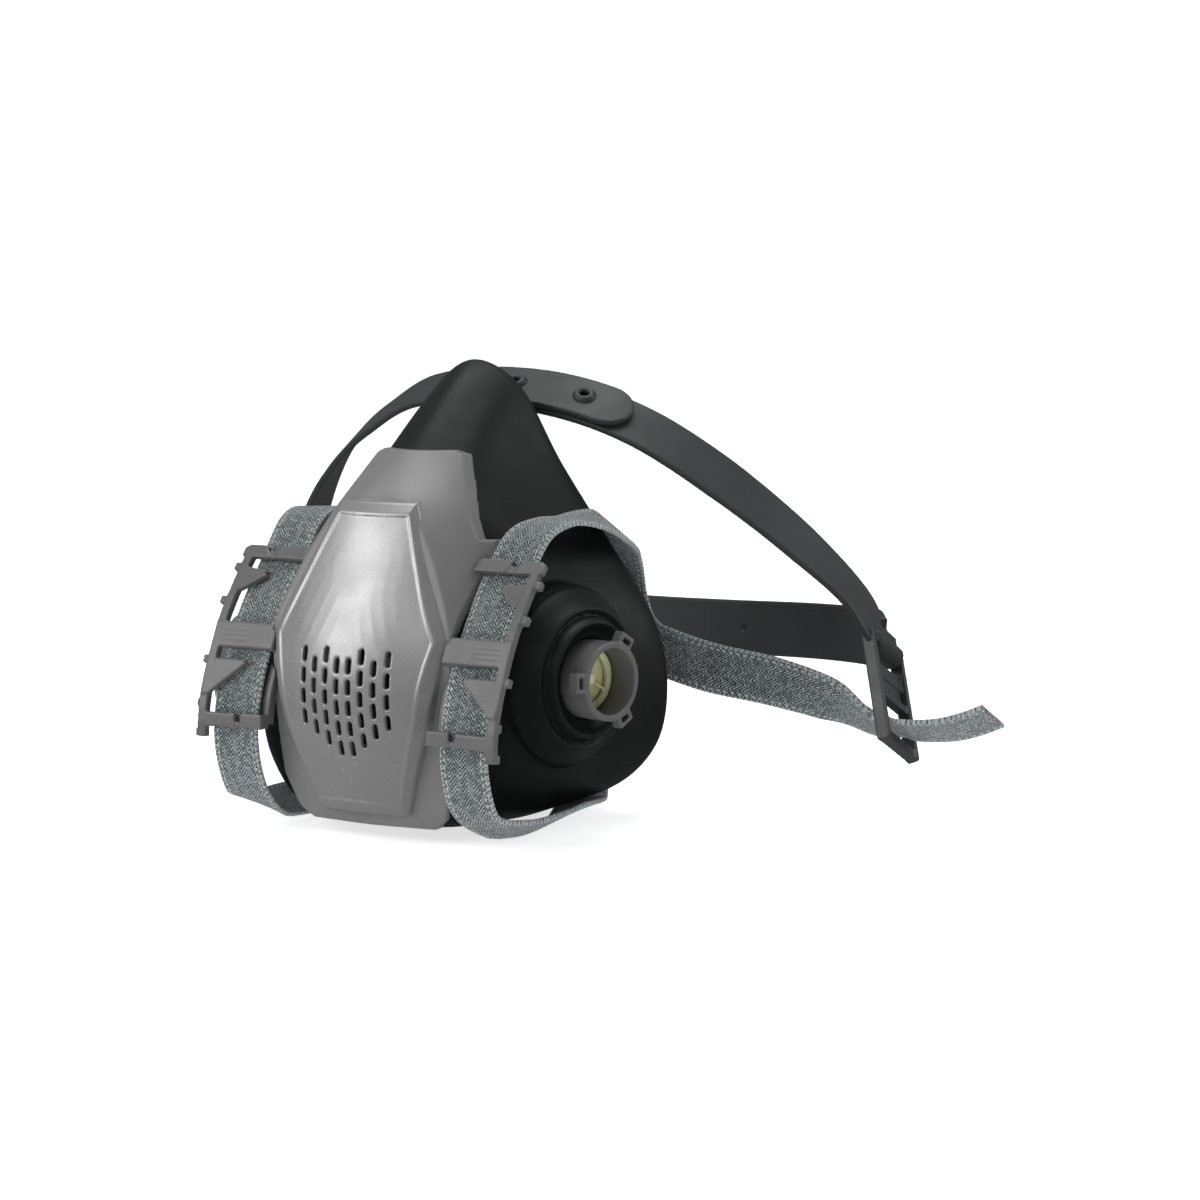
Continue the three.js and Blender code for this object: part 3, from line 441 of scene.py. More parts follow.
# ---------------------------------------------------------------- facepiece
STATIONS = [
    [(0, 17.5, 39), (9, 17, 38), (17, 13.5, 30), (26, 8.5, 13), (31, 5.5, -1), (30, 5, -18),
     (25, 6, -38), (17, 8, -54), (0, 8.5, -58.5)],
    [(0, 27, 46), (11, 27, 43.5), (22, 26, 33.5), (31.5, 26, 18.5), (40.5, 16.5, 0), (43, 12, -19),
     (40, 10, -40), (28, 12, -57.5), (0, 14, -60.6)],
    [(0, 41, 58.5), (12, 42, 54.5), (23, 40, 41), (38, 36, 22), (48.5, 31, 4), (51, 29, -17),
     (49, 30, -42), (38, 33, -58.6), (0, 35, -61)],
    [(0, 57, 72), (12, 59, 67), (24, 60, 48), (40, 60, 25), (52.5, 60, 4), (57, 60, -18),
     (54.5, 60, -42), (41, 59, -58.4), (0, 56, -61)],
    [(0, 70, 80), (13, 73, 73.5), (27.5, 77, 47.5), (43.5, 80, 22), (58, 82, -1), (62.5, 83, -21),
     (59, 82, -42.5), (43, 79, -57.4), (0, 75, -60.6)],
    [(0, 74, 79.5), (12, 76.5, 73), (26.5, 80.5, 46.5), (42.5, 83.5, 21.5), (56.5, 85.5, -1.5),
     (61, 86.5, -21), (57.5, 85.5, -41.5), (42, 82.5, -56.2), (0, 78.5, -59.4)],
]
RING = 160
STEPS = 8  # rings from one station to the next
POLE = np.array([0, 2.5, -16])
TIP = 2.3  # how far back the foremost point of the facepiece is
WALL = 3.0
YOKE_IN, YOKE_OUT = 0.25, 2.75


def facepiece_rings():
    halves = np.array(STATIONS, float)
    loops = np.concatenate([halves, (halves * MIRROR)[:, -2:0:-1]], axis=1)
    full = np.array([catmull(loop, np.arange(RING) / RING, closed=True) for loop in loops])
    front = []
    for share in (0.12, 0.25, 0.35, 0.47, 0.6, 0.7, 0.82, 0.92):
        ring = POLE + (full[0] - POLE) * share
        ring[:, 1] = POLE[1] + (full[0][:, 1] - POLE[1]) * share**2
        front.append(ring)
    return np.concatenate([front, catmull(full, np.linspace(0, 1, 5 * STEPS + 1))])


RINGS = facepiece_rings()


def offset(distance):
    along = np.concatenate([RINGS[1:], RINGS[-1:]]) - np.concatenate([RINGS[:1], RINGS[:-1]])
    around = np.roll(RINGS, -1, axis=1) - np.roll(RINGS, 1, axis=1)
    return RINGS + unit(np.cross(around, along)) * distance


def face_body(name, distance, dropped=0):
    rings = offset(distance)[: len(RINGS) - dropped]
    return loft(name, rings, (0, TIP - distance, POLE[2]))


def face_hollow():
    rings = list(offset(-WALL)[: len(RINGS) - STEPS])
    rim = RINGS[-1]
    middle = rim.mean(0)
    for share, back in ((0.8, -WALL), (0.79, 10)):
        ring = rim * (share, 1, share) + (0, back, middle[2] * (1 - share))
        rings.append(ring)
    return loft("hollow", rings, (0, TIP + WALL, POLE[2]))


PORT = np.array([70, 35.5, -14.6])
PORT_AXIS = unit((0.98, -0.2, 0))
PORT_OUTER, PORT_BORE, PORT_LENGTH = 12.2, 10.3, 21
BELLOWS = [
    (28.4, -26), (28.4, -18.2), (27.9, -17.2), (27, -16.2), (25.1, -14.1), (23.2, -12.2), (22.6, -10.9),
    (21.8, -10), (21, -9.6), (20.4, -9.9), (19.9, -10.9), (19.4, -11), (18.9, -9.4), (18.5, -7.8),
    (17.7, -6.9), (16.8, -6.7), (16.2, -7.4), (15.2, -8.6), (13.4, -9.1), (12.9, -9.1),
]
BELLOWS_SINK = 0.45  # how far the facepiece's own bellows lie below the crisp crest over them
BELLOWS_CREST = [
    (28.1, -18.1), (27, -16.2), (25.1, -14.1), (23.2, -12.2), (22.2, -10.6), (21.8, -10), (21.2, -9.8),
    (20.6, -10.4), (20.2, -11.2), (19.2, -11.2), (18.4, -8.2), (17.9, -7.1), (17.3, -6.8), (16.8, -7.3),
    (15.6, -9.2), (13.2, -9.6), (13.2, -10.4), (15.4, -10.4), (17.2, -8.8), (18.6, -12.4), (20.6, -12.4),
    (23.2, -14.2), (27, -18.2),
]
CREST_SEGMENTS = 160
POCKET, POCKET_TOP, BORE_GAP = 17.7, -12.5, 0.3
VALVE = np.array([0, 0, -19.0])
VALVE_HOLE = 14.5
FRONT = np.array([0, 1.0, 0])


def both_ports():
    return [(PORT, PORT_AXIS), (PORT * MIRROR, PORT_AXIS * MIRROR)]


def make_facepiece():
    body = face_body("facepiece_body", 0)
    sunk = [(r, d - BELLOWS_SINK) for r, d in BELLOWS]
    combine(body, [revolve("bellows", sunk, c, a) for c, a in both_ports()], "UNION")
    cuts = [face_hollow(), revolve("valve_hole", rod(VALVE_HOLE, -30, 12), VALVE, FRONT)]
    for c, a in both_ports():
        cuts.append(revolve("bore", rod(PORT_OUTER + BORE_GAP, -40, 5), c, a))
        cuts.append(revolve("pocket", rod(POCKET, -40, POCKET_TOP), c, a))
    combine(body, cuts, "DIFFERENCE")
    soften(body, "facepiece")
    settle(body, "rubber_facepiece", "mask", SILICONE, ["facepiece"])
    for side, (c, a) in zip(("left", "right"), both_ports()):
        crest = revolve("crest", BELLOWS_CREST, c, a, CREST_SEGMENTS, ring=True)
        settle(crest, side + "_bellows", "mask", SILICONE, ["facepiece"])


make_facepiece()

# ---------------------------------------------------------------- yoke and valve shield
YOKE_OUTLINE = [
    (12.5, 53.8), (16, 52.4), (17.4, 49.5), (29, 27.6), (32.6, 27.4), (32.8, 8), (32.6, -26),
    (31, -46), (27, -56.5), (22.5, -60.2),
]
SHIELD_OUTLINE = [(13.7, 39.5), (31.7, 0), (26.6, -26), (16.1, -55.6)]
SHIELD_LINE = [(0, 12.4, 40), (0, 3.2, 20), (0, -5.2, 0), (0, -8.1, -18), (0, -5.2, -36), (0, 0.8, -56)]
SHIELD_RIM, SHIELD_STEP, SHIELD_WALL, SHIELD_SKIRT, SHIELD_BULGE = 3.4, 1.6, 1.8, 3.4, 0.0072
SLOT_COLUMNS = [(2.1, -8.8, 5), (6.4, -5.8, 5), (10.8, -9.1, 4), (15.2, -6.2, 4)]
SLOT_WIDTH, SLOT_HEIGHT, SLOT_PITCH = 1.75, 4.9, 6.4


def both_sides(outline):
    return outline + [(-x, z) for x, z in reversed(outline)]


def facing(x, z, y):
    return (x, y, z)


def make_yoke():
    skin = face_body("yoke_skin", YOKE_OUT, 2 * STEPS)
    combine(skin, [face_body("face", YOKE_IN)], "DIFFERENCE")
    combine(skin, [prism("window", both_sides(YOKE_OUTLINE), 140, facing)], "INTERSECT")
    combine(skin, [revolve("valve_hole", rod(VALVE_HOLE, -30, 30), VALVE, FRONT)], "DIFFERENCE")
    soften(skin, "yoke")
    settle(skin, "moulded_yoke", "mask", PLASTIC, ["yoke"])


def shield_depth(points):
    line = catmull(SHIELD_LINE, np.linspace(0, 1, 400))
    return np.interp(-points[:, 1], -line[:, 2], line[:, 1]) + SHIELD_BULGE * points[:, 0] ** 2


def shield_ring(inset, lift, per_side=20):
    corners = np.array(both_sides(SHIELD_OUTLINE), float)
    steps = np.arange(per_side)[:, None] / per_side
    following = np.roll(corners, -1, axis=0)
    edge = np.concatenate([a + (b - a) * steps for a, b in zip(corners, following)])
    middle = np.array([0, -8.0])
    arm = edge - middle
    p = middle + arm * (1 - inset / np.linalg.norm(arm, axis=1, keepdims=True))
    return np.column_stack([p[:, 0], shield_depth(p) + lift, p[:, 1]])


def inner_ring(share, lift, per_side=20):
    ring = shield_ring(SHIELD_RIM + 1.2, 0, per_side=per_side)
    p = np.array([0, -8.0]) + (ring[:, [0, 2]] - (0, -8.0)) * share
    return np.column_stack([p[:, 0], shield_depth(p) + lift, p[:, 1]])


def slot_outline(x, z):
    straight = (SLOT_HEIGHT - SLOT_WIDTH) / 2
    radius = SLOT_WIDTH / 2
    points = []
    for end in (1, -1):
        for k in range(11):
            angle = math.pi * k / 10 + (0 if end > 0 else math.pi)
            across, up = radius * math.cos(angle), radius * math.sin(angle)
            points.append((x + across, z + end * straight + up))
    return points


def make_shield():
    back = SHIELD_WALL
    rings = [inner_ring(s, back) for s in (0.15, 0.3, 0.45, 0.6, 0.75, 0.9)]
    rings += [
        shield_ring(SHIELD_RIM + 1, back - 0.3), shield_ring(1.6, back + SHIELD_SKIRT),
        shield_ring(0.2, back + SHIELD_SKIRT), shield_ring(0, back + SHIELD_SKIRT - 0.3),
        shield_ring(0, SHIELD_STEP - 0.3), shield_ring(0.5, SHIELD_STEP - 0.75),
        shield_ring(SHIELD_RIM - 0.4, -0.35), shield_ring(SHIELD_RIM, -0.45),
        shield_ring(SHIELD_RIM + 0.5, -0.35), shield_ring(SHIELD_RIM + 1.0, 0),
    ]
    rings += [inner_ring(s, 0) for s in (0.9, 0.75, 0.6, 0.45, 0.3, 0.15)]
    depth = float(shield_depth(np.array([[0, -8.0]]))[0])
    body = loft("shield_body", rings, (0, depth + back, -8), (0, depth, -8))
    slots = []
    for x, top, count in SLOT_COLUMNS:
        for k in range(count):
            for side in (-1, 1):
                outline = slot_outline(side * x, top - k * SLOT_PITCH)
                slots.append(prism("slot", outline, 40, facing))
    combine(body, slots, "DIFFERENCE")
    soften(body, "shield")
    settle(body, "silver_shield", "mask", SHIELD, ["valve_shield"])


make_yoke()
make_shield()

# ---------------------------------------------------------------- ports and strap guides
LUG_ANGLES = [176, 58, -62]
LUG, LUG_HOLE, LUG_BACK = (4.6, 6, 3.6), (1.7, 3.4, 9), 2.1
COLLAR_START, COLLAR_END, COLLAR_WIDTH = -15.6, -14.2, 3.4


def oriented_box(name, centre, axes, size):
    """A box of size (a, b, c) along three axes."""
    corners = [(-1, -1), (1, -1), (1, 1), (-1, 1)]
    x, y, z = [np.asarray(v, float) for v in axes]
    outline = [(a * size[0] / 2, b * size[1] / 2) for a, b in corners]
    return prism(name, outline, size[2], lambda a, b, c: tuple(np.asarray(centre) + x * a + y * b + z * c))


def make_port():
    body = revolve("port_tube", tube(PORT_BORE, PORT_OUTER, -PORT_LENGTH, 0), PORT, PORT_AXIS, ring=True)
    collar = tube(PORT_BORE + 0.5, PORT_OUTER + COLLAR_WIDTH, COLLAR_START, COLLAR_END)
    adds = [revolve("collar", collar, PORT, PORT_AXIS, ring=True)]
    up = np.array([0, 0, 1.0])
    back = unit(np.cross(up, PORT_AXIS))
    holes = []
    for angle in LUG_ANGLES:
        turn = math.radians(angle)
        radial = back * math.cos(turn) + up * math.sin(turn)
        tangent = np.cross(PORT_AXIS, radial)
        axes = (radial, tangent, PORT_AXIS)
        origin = PORT - PORT_AXIS * LUG_BACK
        adds.append(oriented_box("lug", origin + radial * (PORT_OUTER + 1.1), axes, LUG))
        holes.append(oriented_box("hole", origin + radial * (PORT_OUTER + 1.4), axes, LUG_HOLE))
    combine(body, adds, "UNION")
    holes.append(revolve("bore", rod(PORT_BORE, -PORT_LENGTH - 1, 1), PORT, PORT_AXIS))
    combine(body, holes, "DIFFERENCE")
    return soften(body, "port")


def pair(made, name, body, material, node):
    other = mirror_copy(made, "other")
    settle(made, "left_" + name, body, material, ["left_" + node])
    settle(other, "right_" + name, body, material, ["right_" + node])


pair(make_port(), "port_tube", "mask", GUIDE, "bayonet_port")
guide = soften(cad_copy("left_strap_frame"), "guide")
pair(guide, "strap_guide", "mask", GUIDE, "strap_frame")


def pair_on_own(made, name, node, material):
    other = mirror_copy(made, "other")
    settle(made, "left_" + name, "left_" + node, material, ["left_" + node])
    settle(other, "right_" + name, "right_" + node, material, ["right_" + node])


FLAP = [(9.0, -11.85), (9.35, -11.7), (9.5, -11.3), (9.3, -11.1), (5, -11.0), (1, -11.0)]
pair_on_own(revolve("flap", FLAP, PORT, PORT_AXIS), "flap_disc", "inhalation_flap", YELLOW)
seat = soften(cad_copy("left_inhalation_seat"), "seat")
pair(seat, "valve_seat", "mask", YELLOW, "inhalation_seat")

# ---------------------------------------------------------------- straps
WEB_WIDTH, WEB_THICK, WEB_X = 16.5, 1.6, 41.9
STRAP_STEPS, TAIL_STEPS = 330, 130
BAR_DIR = unit((0.1, 0.862, -0.5))
BUCKLE_TOP = np.array([114.5, 134, -14.8])
BUCKLE_BOTTOM = np.array([127.3, 118, -42.5])
BUCKLE_LENGTH = float(np.linalg.norm(BUCKLE_TOP - BUCKLE_BOTTOM))
BUCKLE_DOWN = unit(BUCKLE_BOTTOM - BUCKLE_TOP)
BUCKLE_OUT = unit(np.cross(BUCKLE_DOWN, BAR_DIR))
FRAME_LINE = [
    (0, 24.5, 24), (0, 20.6, 20.2), (0, 12.6, 11), (0, 5, 1), (0, 0.2, -8), (0, -4.4, -18), (0, -7, -28),
    (0, -7.4, -35),
]


def frame_point(z, sink=2.4):
    ts = np.linspace(0, 1, 801)
    line = catmull(FRAME_LINE, ts)
    k = int(np.argmin(abs(line[:, 2] - z)))
    up = -unit(line[min(k + 1, 800)] - line[max(k - 1, 0)])
    out = unit(np.cross((1, 0, 0), up))
    return (*(line[k] + (WEB_X, 0, 0) - out * sink), (1, 0, 0))


def buckle_point(down, out):
    return (*(BUCKLE_TOP + BUCKLE_DOWN * down + BUCKLE_OUT * out), tuple(-BAR_DIR))


MASK_WEB = [
    (51.8, 101.4, -15.3, (0.28, 0, 0.96)), (46.4, 100.8, -13.2, (0.5, 0, 0.86)),
    (41, 99.8, -7, (0.82, 0.05, 0.55)), (38.4, 98.4, 3, (1, 0.1, 0.15)), (38.4, 96.8, 9, (1, 0.15, 0)),
    (40.4, 92.4, 17, (0.92, 0.15, -0.35)), (44.1, 84.8, 24.5, (0.76, 0.1, -0.6)),
    (46.3, 75, 28.2, (0.8, 0, -0.55)), (46.8, 65, 30.2, (0.92, 0, -0.34)), (46.4, 55, 31.4, (1, 0, -0.1)),
    (44.8, 44, 32.2, (1, 0, 0)), (42.8, 33, 29.2, (1, 0, 0)), frame_point(20.4), frame_point(8),
    frame_point(-3.4), frame_point(-16), frame_point(-28.6), (WEB_X, -4.4, -40, (1, 0, 0)),
    (42.2, 1.4, -53, (1, 0, 0)), (44.8, 14, -58.6, (0.93, 0, 0.36)), (46, 30, -60.2, (0.87, 0, 0.45)),
    (45, 48, -60.2, (0.85, 0.15, 0.45)), (39.5, 66, -60.8, (0.85, 0.4, 0.2)),
    (33, 80, -61.6, (0.85, 0.5, 0.1)),
    (27.6, 91, -57.2, (0.55, 0.5, 0.55)), (23.4, 95.4, -54.4, (0.12, 0.2, 0.97)), (17.2, 96, -54, (0, 0, 1)),
]
CRADLE_WEB = [
    (67, 103.5, -19.6, (0.2, 0, 0.97)), (87.6, 108.5, -23.5, (0.1, -0.1, 0.98)),
    (104.6, 114.5, -29, (0, -0.4, 0.9)), (112.6, 118.3, -34, (-0.1, -0.7, 0.66)),
    (118, 121.9, -37.6, (-0.1, -0.8, 0.56)), buckle_point(BUCKLE_LENGTH - 7.6, -2.6),
    buckle_point(BUCKLE_LENGTH - 6.2, 0.6), buckle_point(BUCKLE_LENGTH - 4, 3.8),
]
BAR_BACK = tuple(-BAR_DIR)
LONG_TAIL = [(143.1, 119, -36.6, BAR_BACK), (151, 120, -34.4, BAR_BACK), (158.6, 121, -31.2, BAR_BACK)]
FOLDED_TAIL = [
    buckle_point(BUCKLE_LENGTH + 4, 6.2), (131, 124, -50.6, BAR_BACK), (122, 131, -54, (-0.3, -0.8, 0.2)),
    (112, 137, -54.6, (-0.5, -0.8, 0)),
]


def run_lengths(points):
    """The distance from the first point to each point."""
    return np.concatenate([[0], np.cumsum(np.linalg.norm(np.diff(points, axis=0), axis=1))])


def sample(keys, us):
    """Points, width directions and face directions along a list of keys."""
    points = np.array([k[:3] for k in keys], float)
    sides = np.array([k[3] for k in keys], float)
    p = catmull(points, us)
    tangent = unit(catmull(points, np.minimum(us + 1e-4, 1)) - catmull(points, np.maximum(us - 1e-4, 0)))
    at = us * (len(keys) - 1)
    k = np.minimum(at.astype(int), len(keys) - 2)
    share = (at - k)[:, None]
    side = unit(sides[k]) * (1 - share) + unit(sides[k + 1]) * share
    side = unit(side - tangent * (side * tangent).sum(1, keepdims=True))
    return p, tangent, side, unit(np.cross(tangent, side))


def section(width, thickness, corner, steps=3):
    """A rounded rectangle's outline, as (across, up) pairs."""
    points = []
    for cx, cy, start in ((1, 1, 0), (-1, 1, 90), (-1, -1, 180), (1, -1, 270)):
        for k in range(steps + 1):
            angle = math.radians(start + 90 * k / steps)
            points.append((cx * (width / 2 - corner) + corner * math.cos(angle),
                           cy * (thickness / 2 - corner) + corner * math.sin(angle)))
    flat = []
    n = len(points)
    for i, (a, b) in enumerate(zip(points, points[1:] + points[:1])):
        flat.append(a)
        if math.dist(a, b) > 3:
            flat += [(a[0] + (b[0] - a[0]) * t, a[1] + (b[1] - a[1]) * t) for t in (0.2, 0.4, 0.6, 0.8)]
    return np.array(flat)


def strip(name, keys, width, thickness, us, corner=0.6, raised=None, narrowed=None, origin=0.0):
    """A flat strap along the keys. It keeps each point's place across and along the strap, in mm."""
    p, tangent, side, face = sample(keys, us)
    if raised is not None:
        p = p + face * raised[:, None]
    outline = section(width, thickness, corner)
    size = len(outline)
    scale = np.ones(len(us)) if narrowed is None else narrowed
    lengths = run_lengths(p)
    across = outline[None, :, 0] * scale[:, None]
    rings = p[:, None] + side[:, None] * across[..., None] + face[:, None] * outline[None, :, 1, None]
    verts = rings.reshape(-1, 3)
    faces = [tuple(range(size))[::-1], tuple(range((len(us) - 1) * size, len(us) * size))]
    for r in range(len(us) - 1):
        for i in range(size):
            j = (i + 1) % size
            faces.append((r * size + i, r * size + j, (r + 1) * size + j, (r + 1) * size + i))
    made = new_object(name, verts, faces)
    places = np.zeros((len(verts), 3), np.float32)
    places[:, 0] = np.tile(outline[:, 0], len(us))
    places[:, 1] = np.repeat(lengths + origin, size)
    made.data.attributes.new("strap", "FLOAT_VECTOR", "POINT").data.foreach_set("vector", places.ravel())
    return made, lengths[-1] + origin


def mirrored_keys(keys):
    return [(-x, y, z, (-s[0], s[1], s[2])) for x, y, z, s in keys]


def make_strap(side, tail):
    keys = MASK_WEB[::-1] + CRADLE_WEB + tail
    if side == "right":
        keys = mirrored_keys(keys)
    last = len(keys) - 1
    split = (len(MASK_WEB) + 2) / last
    first, length = strip("strap", keys, WEB_WIDTH, WEB_THICK, np.linspace(0, split, STRAP_STEPS))
    flip = -1 if side == "right" else 1

    def at(x, y, z):
        return tuple(to_row((flip * x, y, z)))

    settle(first, side + "_head_strap", None, WEBBING,
           [side + "_mask_webbing", side + "_cradle_webbing"],
           ("mask", "harness", at(45, 100, -12), at(80, 106, -22)))
    us = np.linspace(split, 1, TAIL_STEPS)
    end, _ = strip("tail", keys, WEB_WIDTH, WEB_THICK, us, origin=length)
    settle(end, side + "_strap_tail", None, WEBBING, [side + "_webbing_tail"],
           ("harness", side + "_buckle", at(106, 115, -29.5), at(119, 122.5, -38.5)))


make_strap("left", LONG_TAIL)
make_strap("right", FOLDED_TAIL)

# ---------------------------------------------------------------- head cradle
BAND = BAND_WIDTH, BAND_THICK = 19, 2.2
BAND_CORNER, BAND_GAP, BAND_STEPS = 0.7, 0.3, 420
REAR_TAPER = 0.22
CROWN_LEAN = (0, 0.876, 0.482)


def smooth(low, high, value):
    t = np.clip((value - low) / (high - low), 0, 1)
    return t * t * (3 - 2 * t)


def crown_keys():
    half = []
    leans = [CROWN_LEAN] * 4 + [(0, 0.95, 0.3), (0.05, 0.98, -0.1)]
    for (x, z), lean in zip(((0, 68.6), (26, 66), (50, 57.8), (74, 41.6), (95.5, 20), (107.6, 3)), leans):
        half.append((x, 130 - 0.55 * z, z, lean))
    half.append((112.8, 133.2, -9.6, tuple(BAR_DIR)))
    keys = mirrored_keys(half[1:])[::-1] + half
    keys = [(x - 5 * float(smooth(-9.6, 50, z)), y, z, s) for x, y, z, s in keys]
    n = len(half) - 1
    return [(x, y, z, (abs(s[0]) if i > n else s[0] if i == n else -abs(s[0]), s[1], s[2]))
            for i, (x, y, z, s) in enumerate(keys)]


CROWN = crown_keys()
TAB_END, UNDER_START, STUD_AT = 0.655, 0.44, (0.525, 0.602)
BAND_STACK = BAND_THICK + BAND_GAP
REAR_HOLES = (0.36, 0.62)
REAR_HALF = [
    (0, 188, -19.6, (0, 0.1, 1)), (32, 185, -18.8, (0, 0.1, 1)), (66, 174.5, -16.6, (0, 0.1, 1)),
    (93, 156.5, -14, (0, 0.05, 1)), (107.5, 143.5, -12.6, (0.05, 0, 1)),
    (112.8, 137.6, -12.4, (0.05, 0.1, 1)),
]


def rounded_end(us):
    """Shares of the width that round off the last end of a crown band."""
    lengths = run_lengths(sample(CROWN, us)[0])
    left = np.clip((lengths[-1] - lengths) / (BAND_WIDTH / 2), 0, 1)
    return np.sqrt(np.clip(1 - (1 - left) ** 2, 0.02, 1))


def make_cradle():
    us = np.linspace(0.0, TAB_END, BAND_STEPS)
    raised = BAND_STACK * smooth(0.5, UNDER_START / TAB_END - 0.04, us / TAB_END)
    upper, _ = strip("upper", CROWN, *BAND, us, BAND_CORNER, raised, rounded_end(us))
    us = np.linspace(1.0, UNDER_START, BAND_STEPS)
    lower, _ = strip("lower", CROWN, *BAND, us, BAND_CORNER, None, rounded_end(us))
    rear_keys = mirrored_keys(REAR_HALF[1:])[::-1] + REAR_HALF
    us = np.linspace(0, 1, BAND_STEPS)
    narrowed = 1 - REAR_TAPER * smooth(0.42, 0.5, abs(us - 0.5))
    rear, _ = strip("rear", rear_keys, *BAND, us, BAND_CORNER, None, narrowed)
    holes = []
    for share in STUD_AT:
        p, _, _, face = sample(CROWN, np.array([share]))
        holes.append((p[0], face[0]))
    for body in (upper, lower):
        drills = [revolve("drill", rod(1.5, 0.4, 9), c, f, 24) for c, f in holes]
        combine(body, drills, "DIFFERENCE")
    drills = []
    for u in REAR_HOLES:
        p, _, _, face = sample(rear_keys, np.array([u]))
        inner = face[0] if face[0][1] < 0 else -face[0]
        drills.append(revolve("drill", rod(1.3, 0.1, 4), p[0], inner, 24))
    combine(rear, drills, "DIFFERENCE")
    left_corner, right_corner = cad_copy("left_cradle_corner"), cad_copy("right_cradle_corner")
    merge(lower, [rear, left_corner])
    soften(lower, "cradle")
    settle(lower, "rubber_cradle", "harness", CRADLE,
           ["crown_band_lower", "rear_band", "left_cradle_corner"])
    merge(upper, [right_corner])
    soften(upper, "cradle")
    settle(upper, "rubber_crown_tab", "harness", CRADLE,
           ["crown_band_upper", "right_cradle_corner"])
    top = BAND_THICK / 2 + BAND_STACK
    profile = [(1.5, top - 0.4), (1.5, top + 0.9), (1.8, top + 1.35), (2.4, top + 1.5), (3.0, top + 1.3),
               (3.5, top + 0.7), (3.9, top + 0.1), (3.9, top - 0.4)]
    for i, (centre, face) in enumerate(holes):
        ring = revolve("stud", profile, centre, face, 64, ring=True)
        settle(ring, f"crown_ring_{i + 1}", "harness", CRADLE, [f"crown_stud_{i + 1}"])


make_cradle()

# ---------------------------------------------------------------- buckles and clasp
def make_buckle():
    return soften(cad_copy("left_adjuster_buckle"), "buckle")


buckle = make_buckle()
other = mirror_copy(buckle, "other")
settle(buckle, "left_ladder_buckle", "left_buckle", BUCKLE, ["left_adjuster_buckle"])
settle(other, "right_ladder_buckle", "right_buckle", BUCKLE, ["right_adjuster_buckle"])
for part in ("hook", "loop"):
    clasp = soften(cad_copy("neck_clasp_" + part), "clasp")
    settle(clasp, "moulded_clasp_" + part, "mask", CLASP, ["neck_clasp_" + part])


def finish_cad_nodes():
    looks = {
        "exhalation_seat": CLASP, "exhalation_flap": GASKET, "left_port_gasket": GASKET,
        "right_port_gasket": GASKET, "left_port_retainer": PLASTIC, "right_port_retainer": PLASTIC,
    }
    for name, material in looks.items():
        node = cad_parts[name]
        node.data.materials.clear()
        node.data.materials.append(material)


finish_cad_nodes()

# ---------------------------------------------------------------- studio
def plain(name, color, roughness):
    s = Shader(name, color, roughness)
    share = s.spread(s.noise(3, 2), 0.3, 0.7, 0.0, 0.1)
    s.link(s.mix(share, color, tuple(c * 0.97 for c in color)), "Base Color")
    return s.material


# Metres: a floor that curves up into a wall behind the mask, just below its lowest point.
FLOOR_FRONT, FLOOR_BACK, FLOOR_HALF, WALL_CURVE, WALL_TOP = -4, 1.6, 6.0, 1.6, 5.0
FLOOR_DROP = 0.0004
FLOOR_GLOW = 0.7


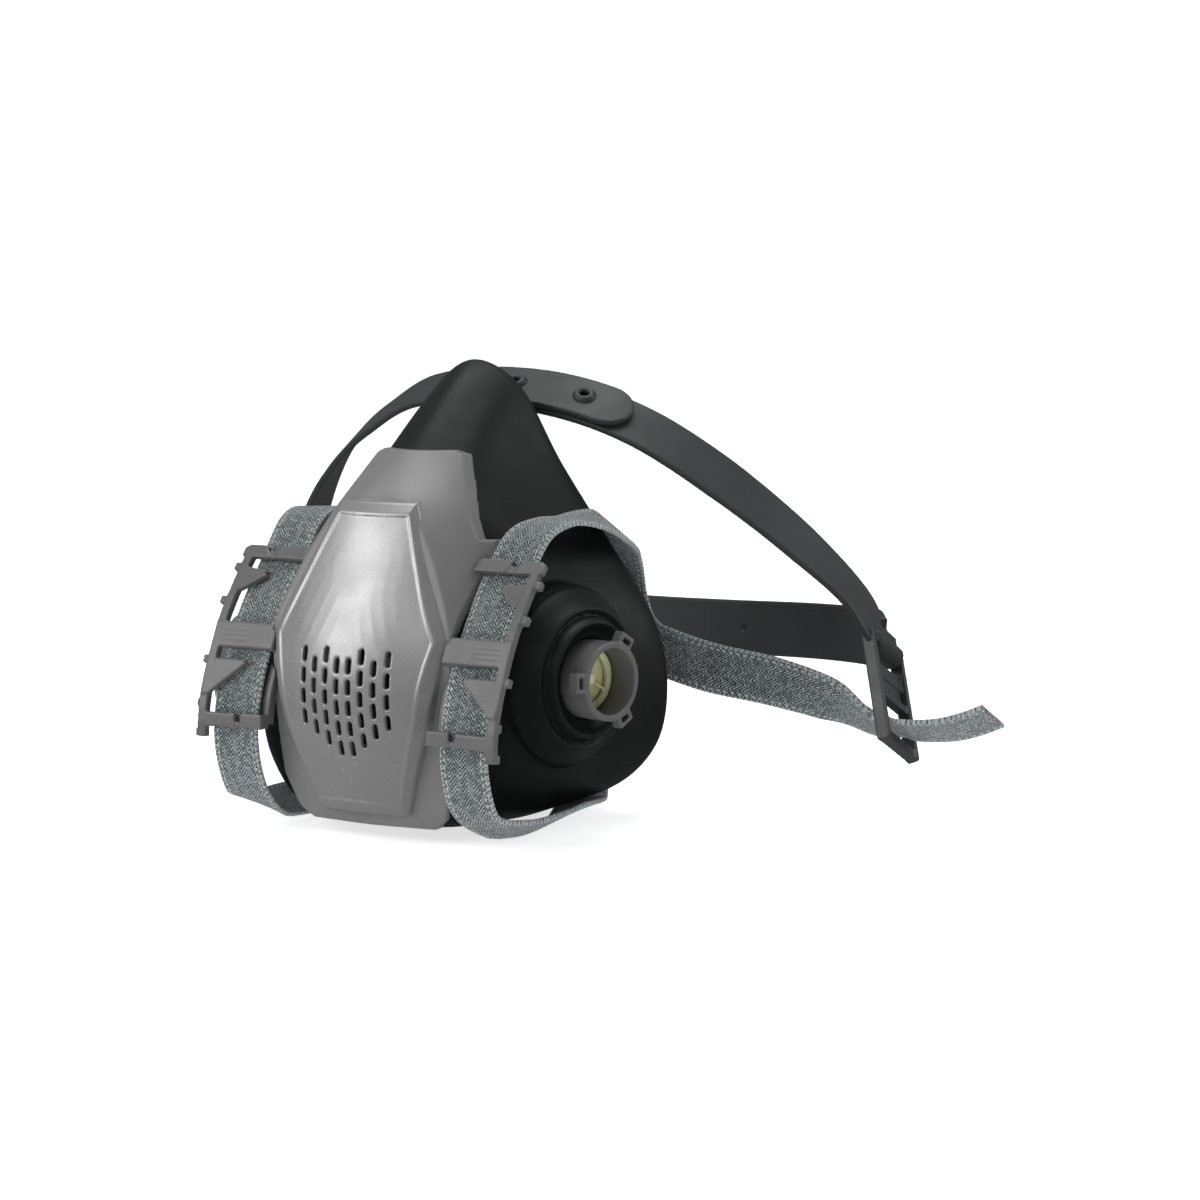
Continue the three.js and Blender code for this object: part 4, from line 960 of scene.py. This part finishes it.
def make_stage():
    line = [(y, 0.0) for y in np.linspace(FLOOR_FRONT, FLOOR_BACK, 12)]
    for a in np.linspace(0, math.pi / 2, 24)[1:]:
        line.append((FLOOR_BACK + WALL_CURVE * math.sin(a), WALL_CURVE * (1 - math.cos(a))))
    line.append((FLOOR_BACK + WALL_CURVE, WALL_TOP))
    turn = Matrix.Rotation(CAMERA_AZIMUTH, 4, "Z")
    verts = [turn @ Vector((x, y, z - FLOOR_DROP)) for y, z in line for x in (-FLOOR_HALF, FLOOR_HALF)]
    faces = [(2 * i, 2 * i + 1, 2 * i + 3, 2 * i + 2) for i in range(len(line) - 1)]
    floor = new_object("floor", verts, faces)
    floor.data.polygons.foreach_set("use_smooth", [True] * len(faces))
    pale = plain("pale_floor", (0.8, 0.8, 0.8), 0.8)
    shader = pale.node_tree.nodes["Principled BSDF"]
    shader.inputs["Emission Color"].default_value = (1, 1, 1, 1)
    shader.inputs["Emission Strength"].default_value = FLOOR_GLOW
    floor.data.materials.append(pale)
    floor.visible_glossy = False


def area_light(name, at, size, power):
    data = bpy.data.lights.new(name, "AREA")
    data.shape = "RECTANGLE"
    data.size, data.size_y = size
    data.energy = power
    light = bpy.data.objects.new(name, data)
    bpy.context.scene.collection.objects.link(light)
    light.location = at
    light.rotation_mode = "QUATERNION"
    light.rotation_quaternion = (Vector(LIGHT_AIM) - Vector(at)).to_track_quat("-Z", "Y")


# The middle of the mask, then each light's place in metres, its size and its power in watts.
LIGHT_AIM = (0, -0.02, 0.07)
LIGHTS = {
    "key": ((-0.6, -0.85, 0.55), (0.55, 0.75), 6.5),
    "front": ((0.25, -1.3, 0.75), (0.7, 0.5), 2.2),
    "top": ((-0.1, 0.1, 1.1), (1.0, 0.7), 8),
    "rim": ((0.9, 0.6, 0.5), (0.4, 0.7), 3.5),
}
WORLD_LIGHT = 0.16


def make_world():
    """A dim white surround that the camera itself sees as plain white."""
    world = bpy.data.worlds.new("studio")
    world.use_nodes = True
    tree = world.node_tree
    background = tree.nodes["Background"].inputs
    background["Color"].default_value = (1, 1, 1, 1)
    paths = tree.nodes.new("ShaderNodeLightPath")
    strength = tree.nodes.new("ShaderNodeMapRange")
    strength.inputs["To Min"].default_value = WORLD_LIGHT
    strength.inputs["To Max"].default_value = 1.0
    tree.links.new(paths.outputs["Is Camera Ray"], strength.inputs["Value"])
    tree.links.new(strength.outputs["Result"], background["Strength"])
    bpy.context.scene.world = world


make_stage()
for light_name, light in LIGHTS.items():
    area_light(light_name, *light)
make_world()
bpy.context.scene.view_settings.view_transform = "Standard"
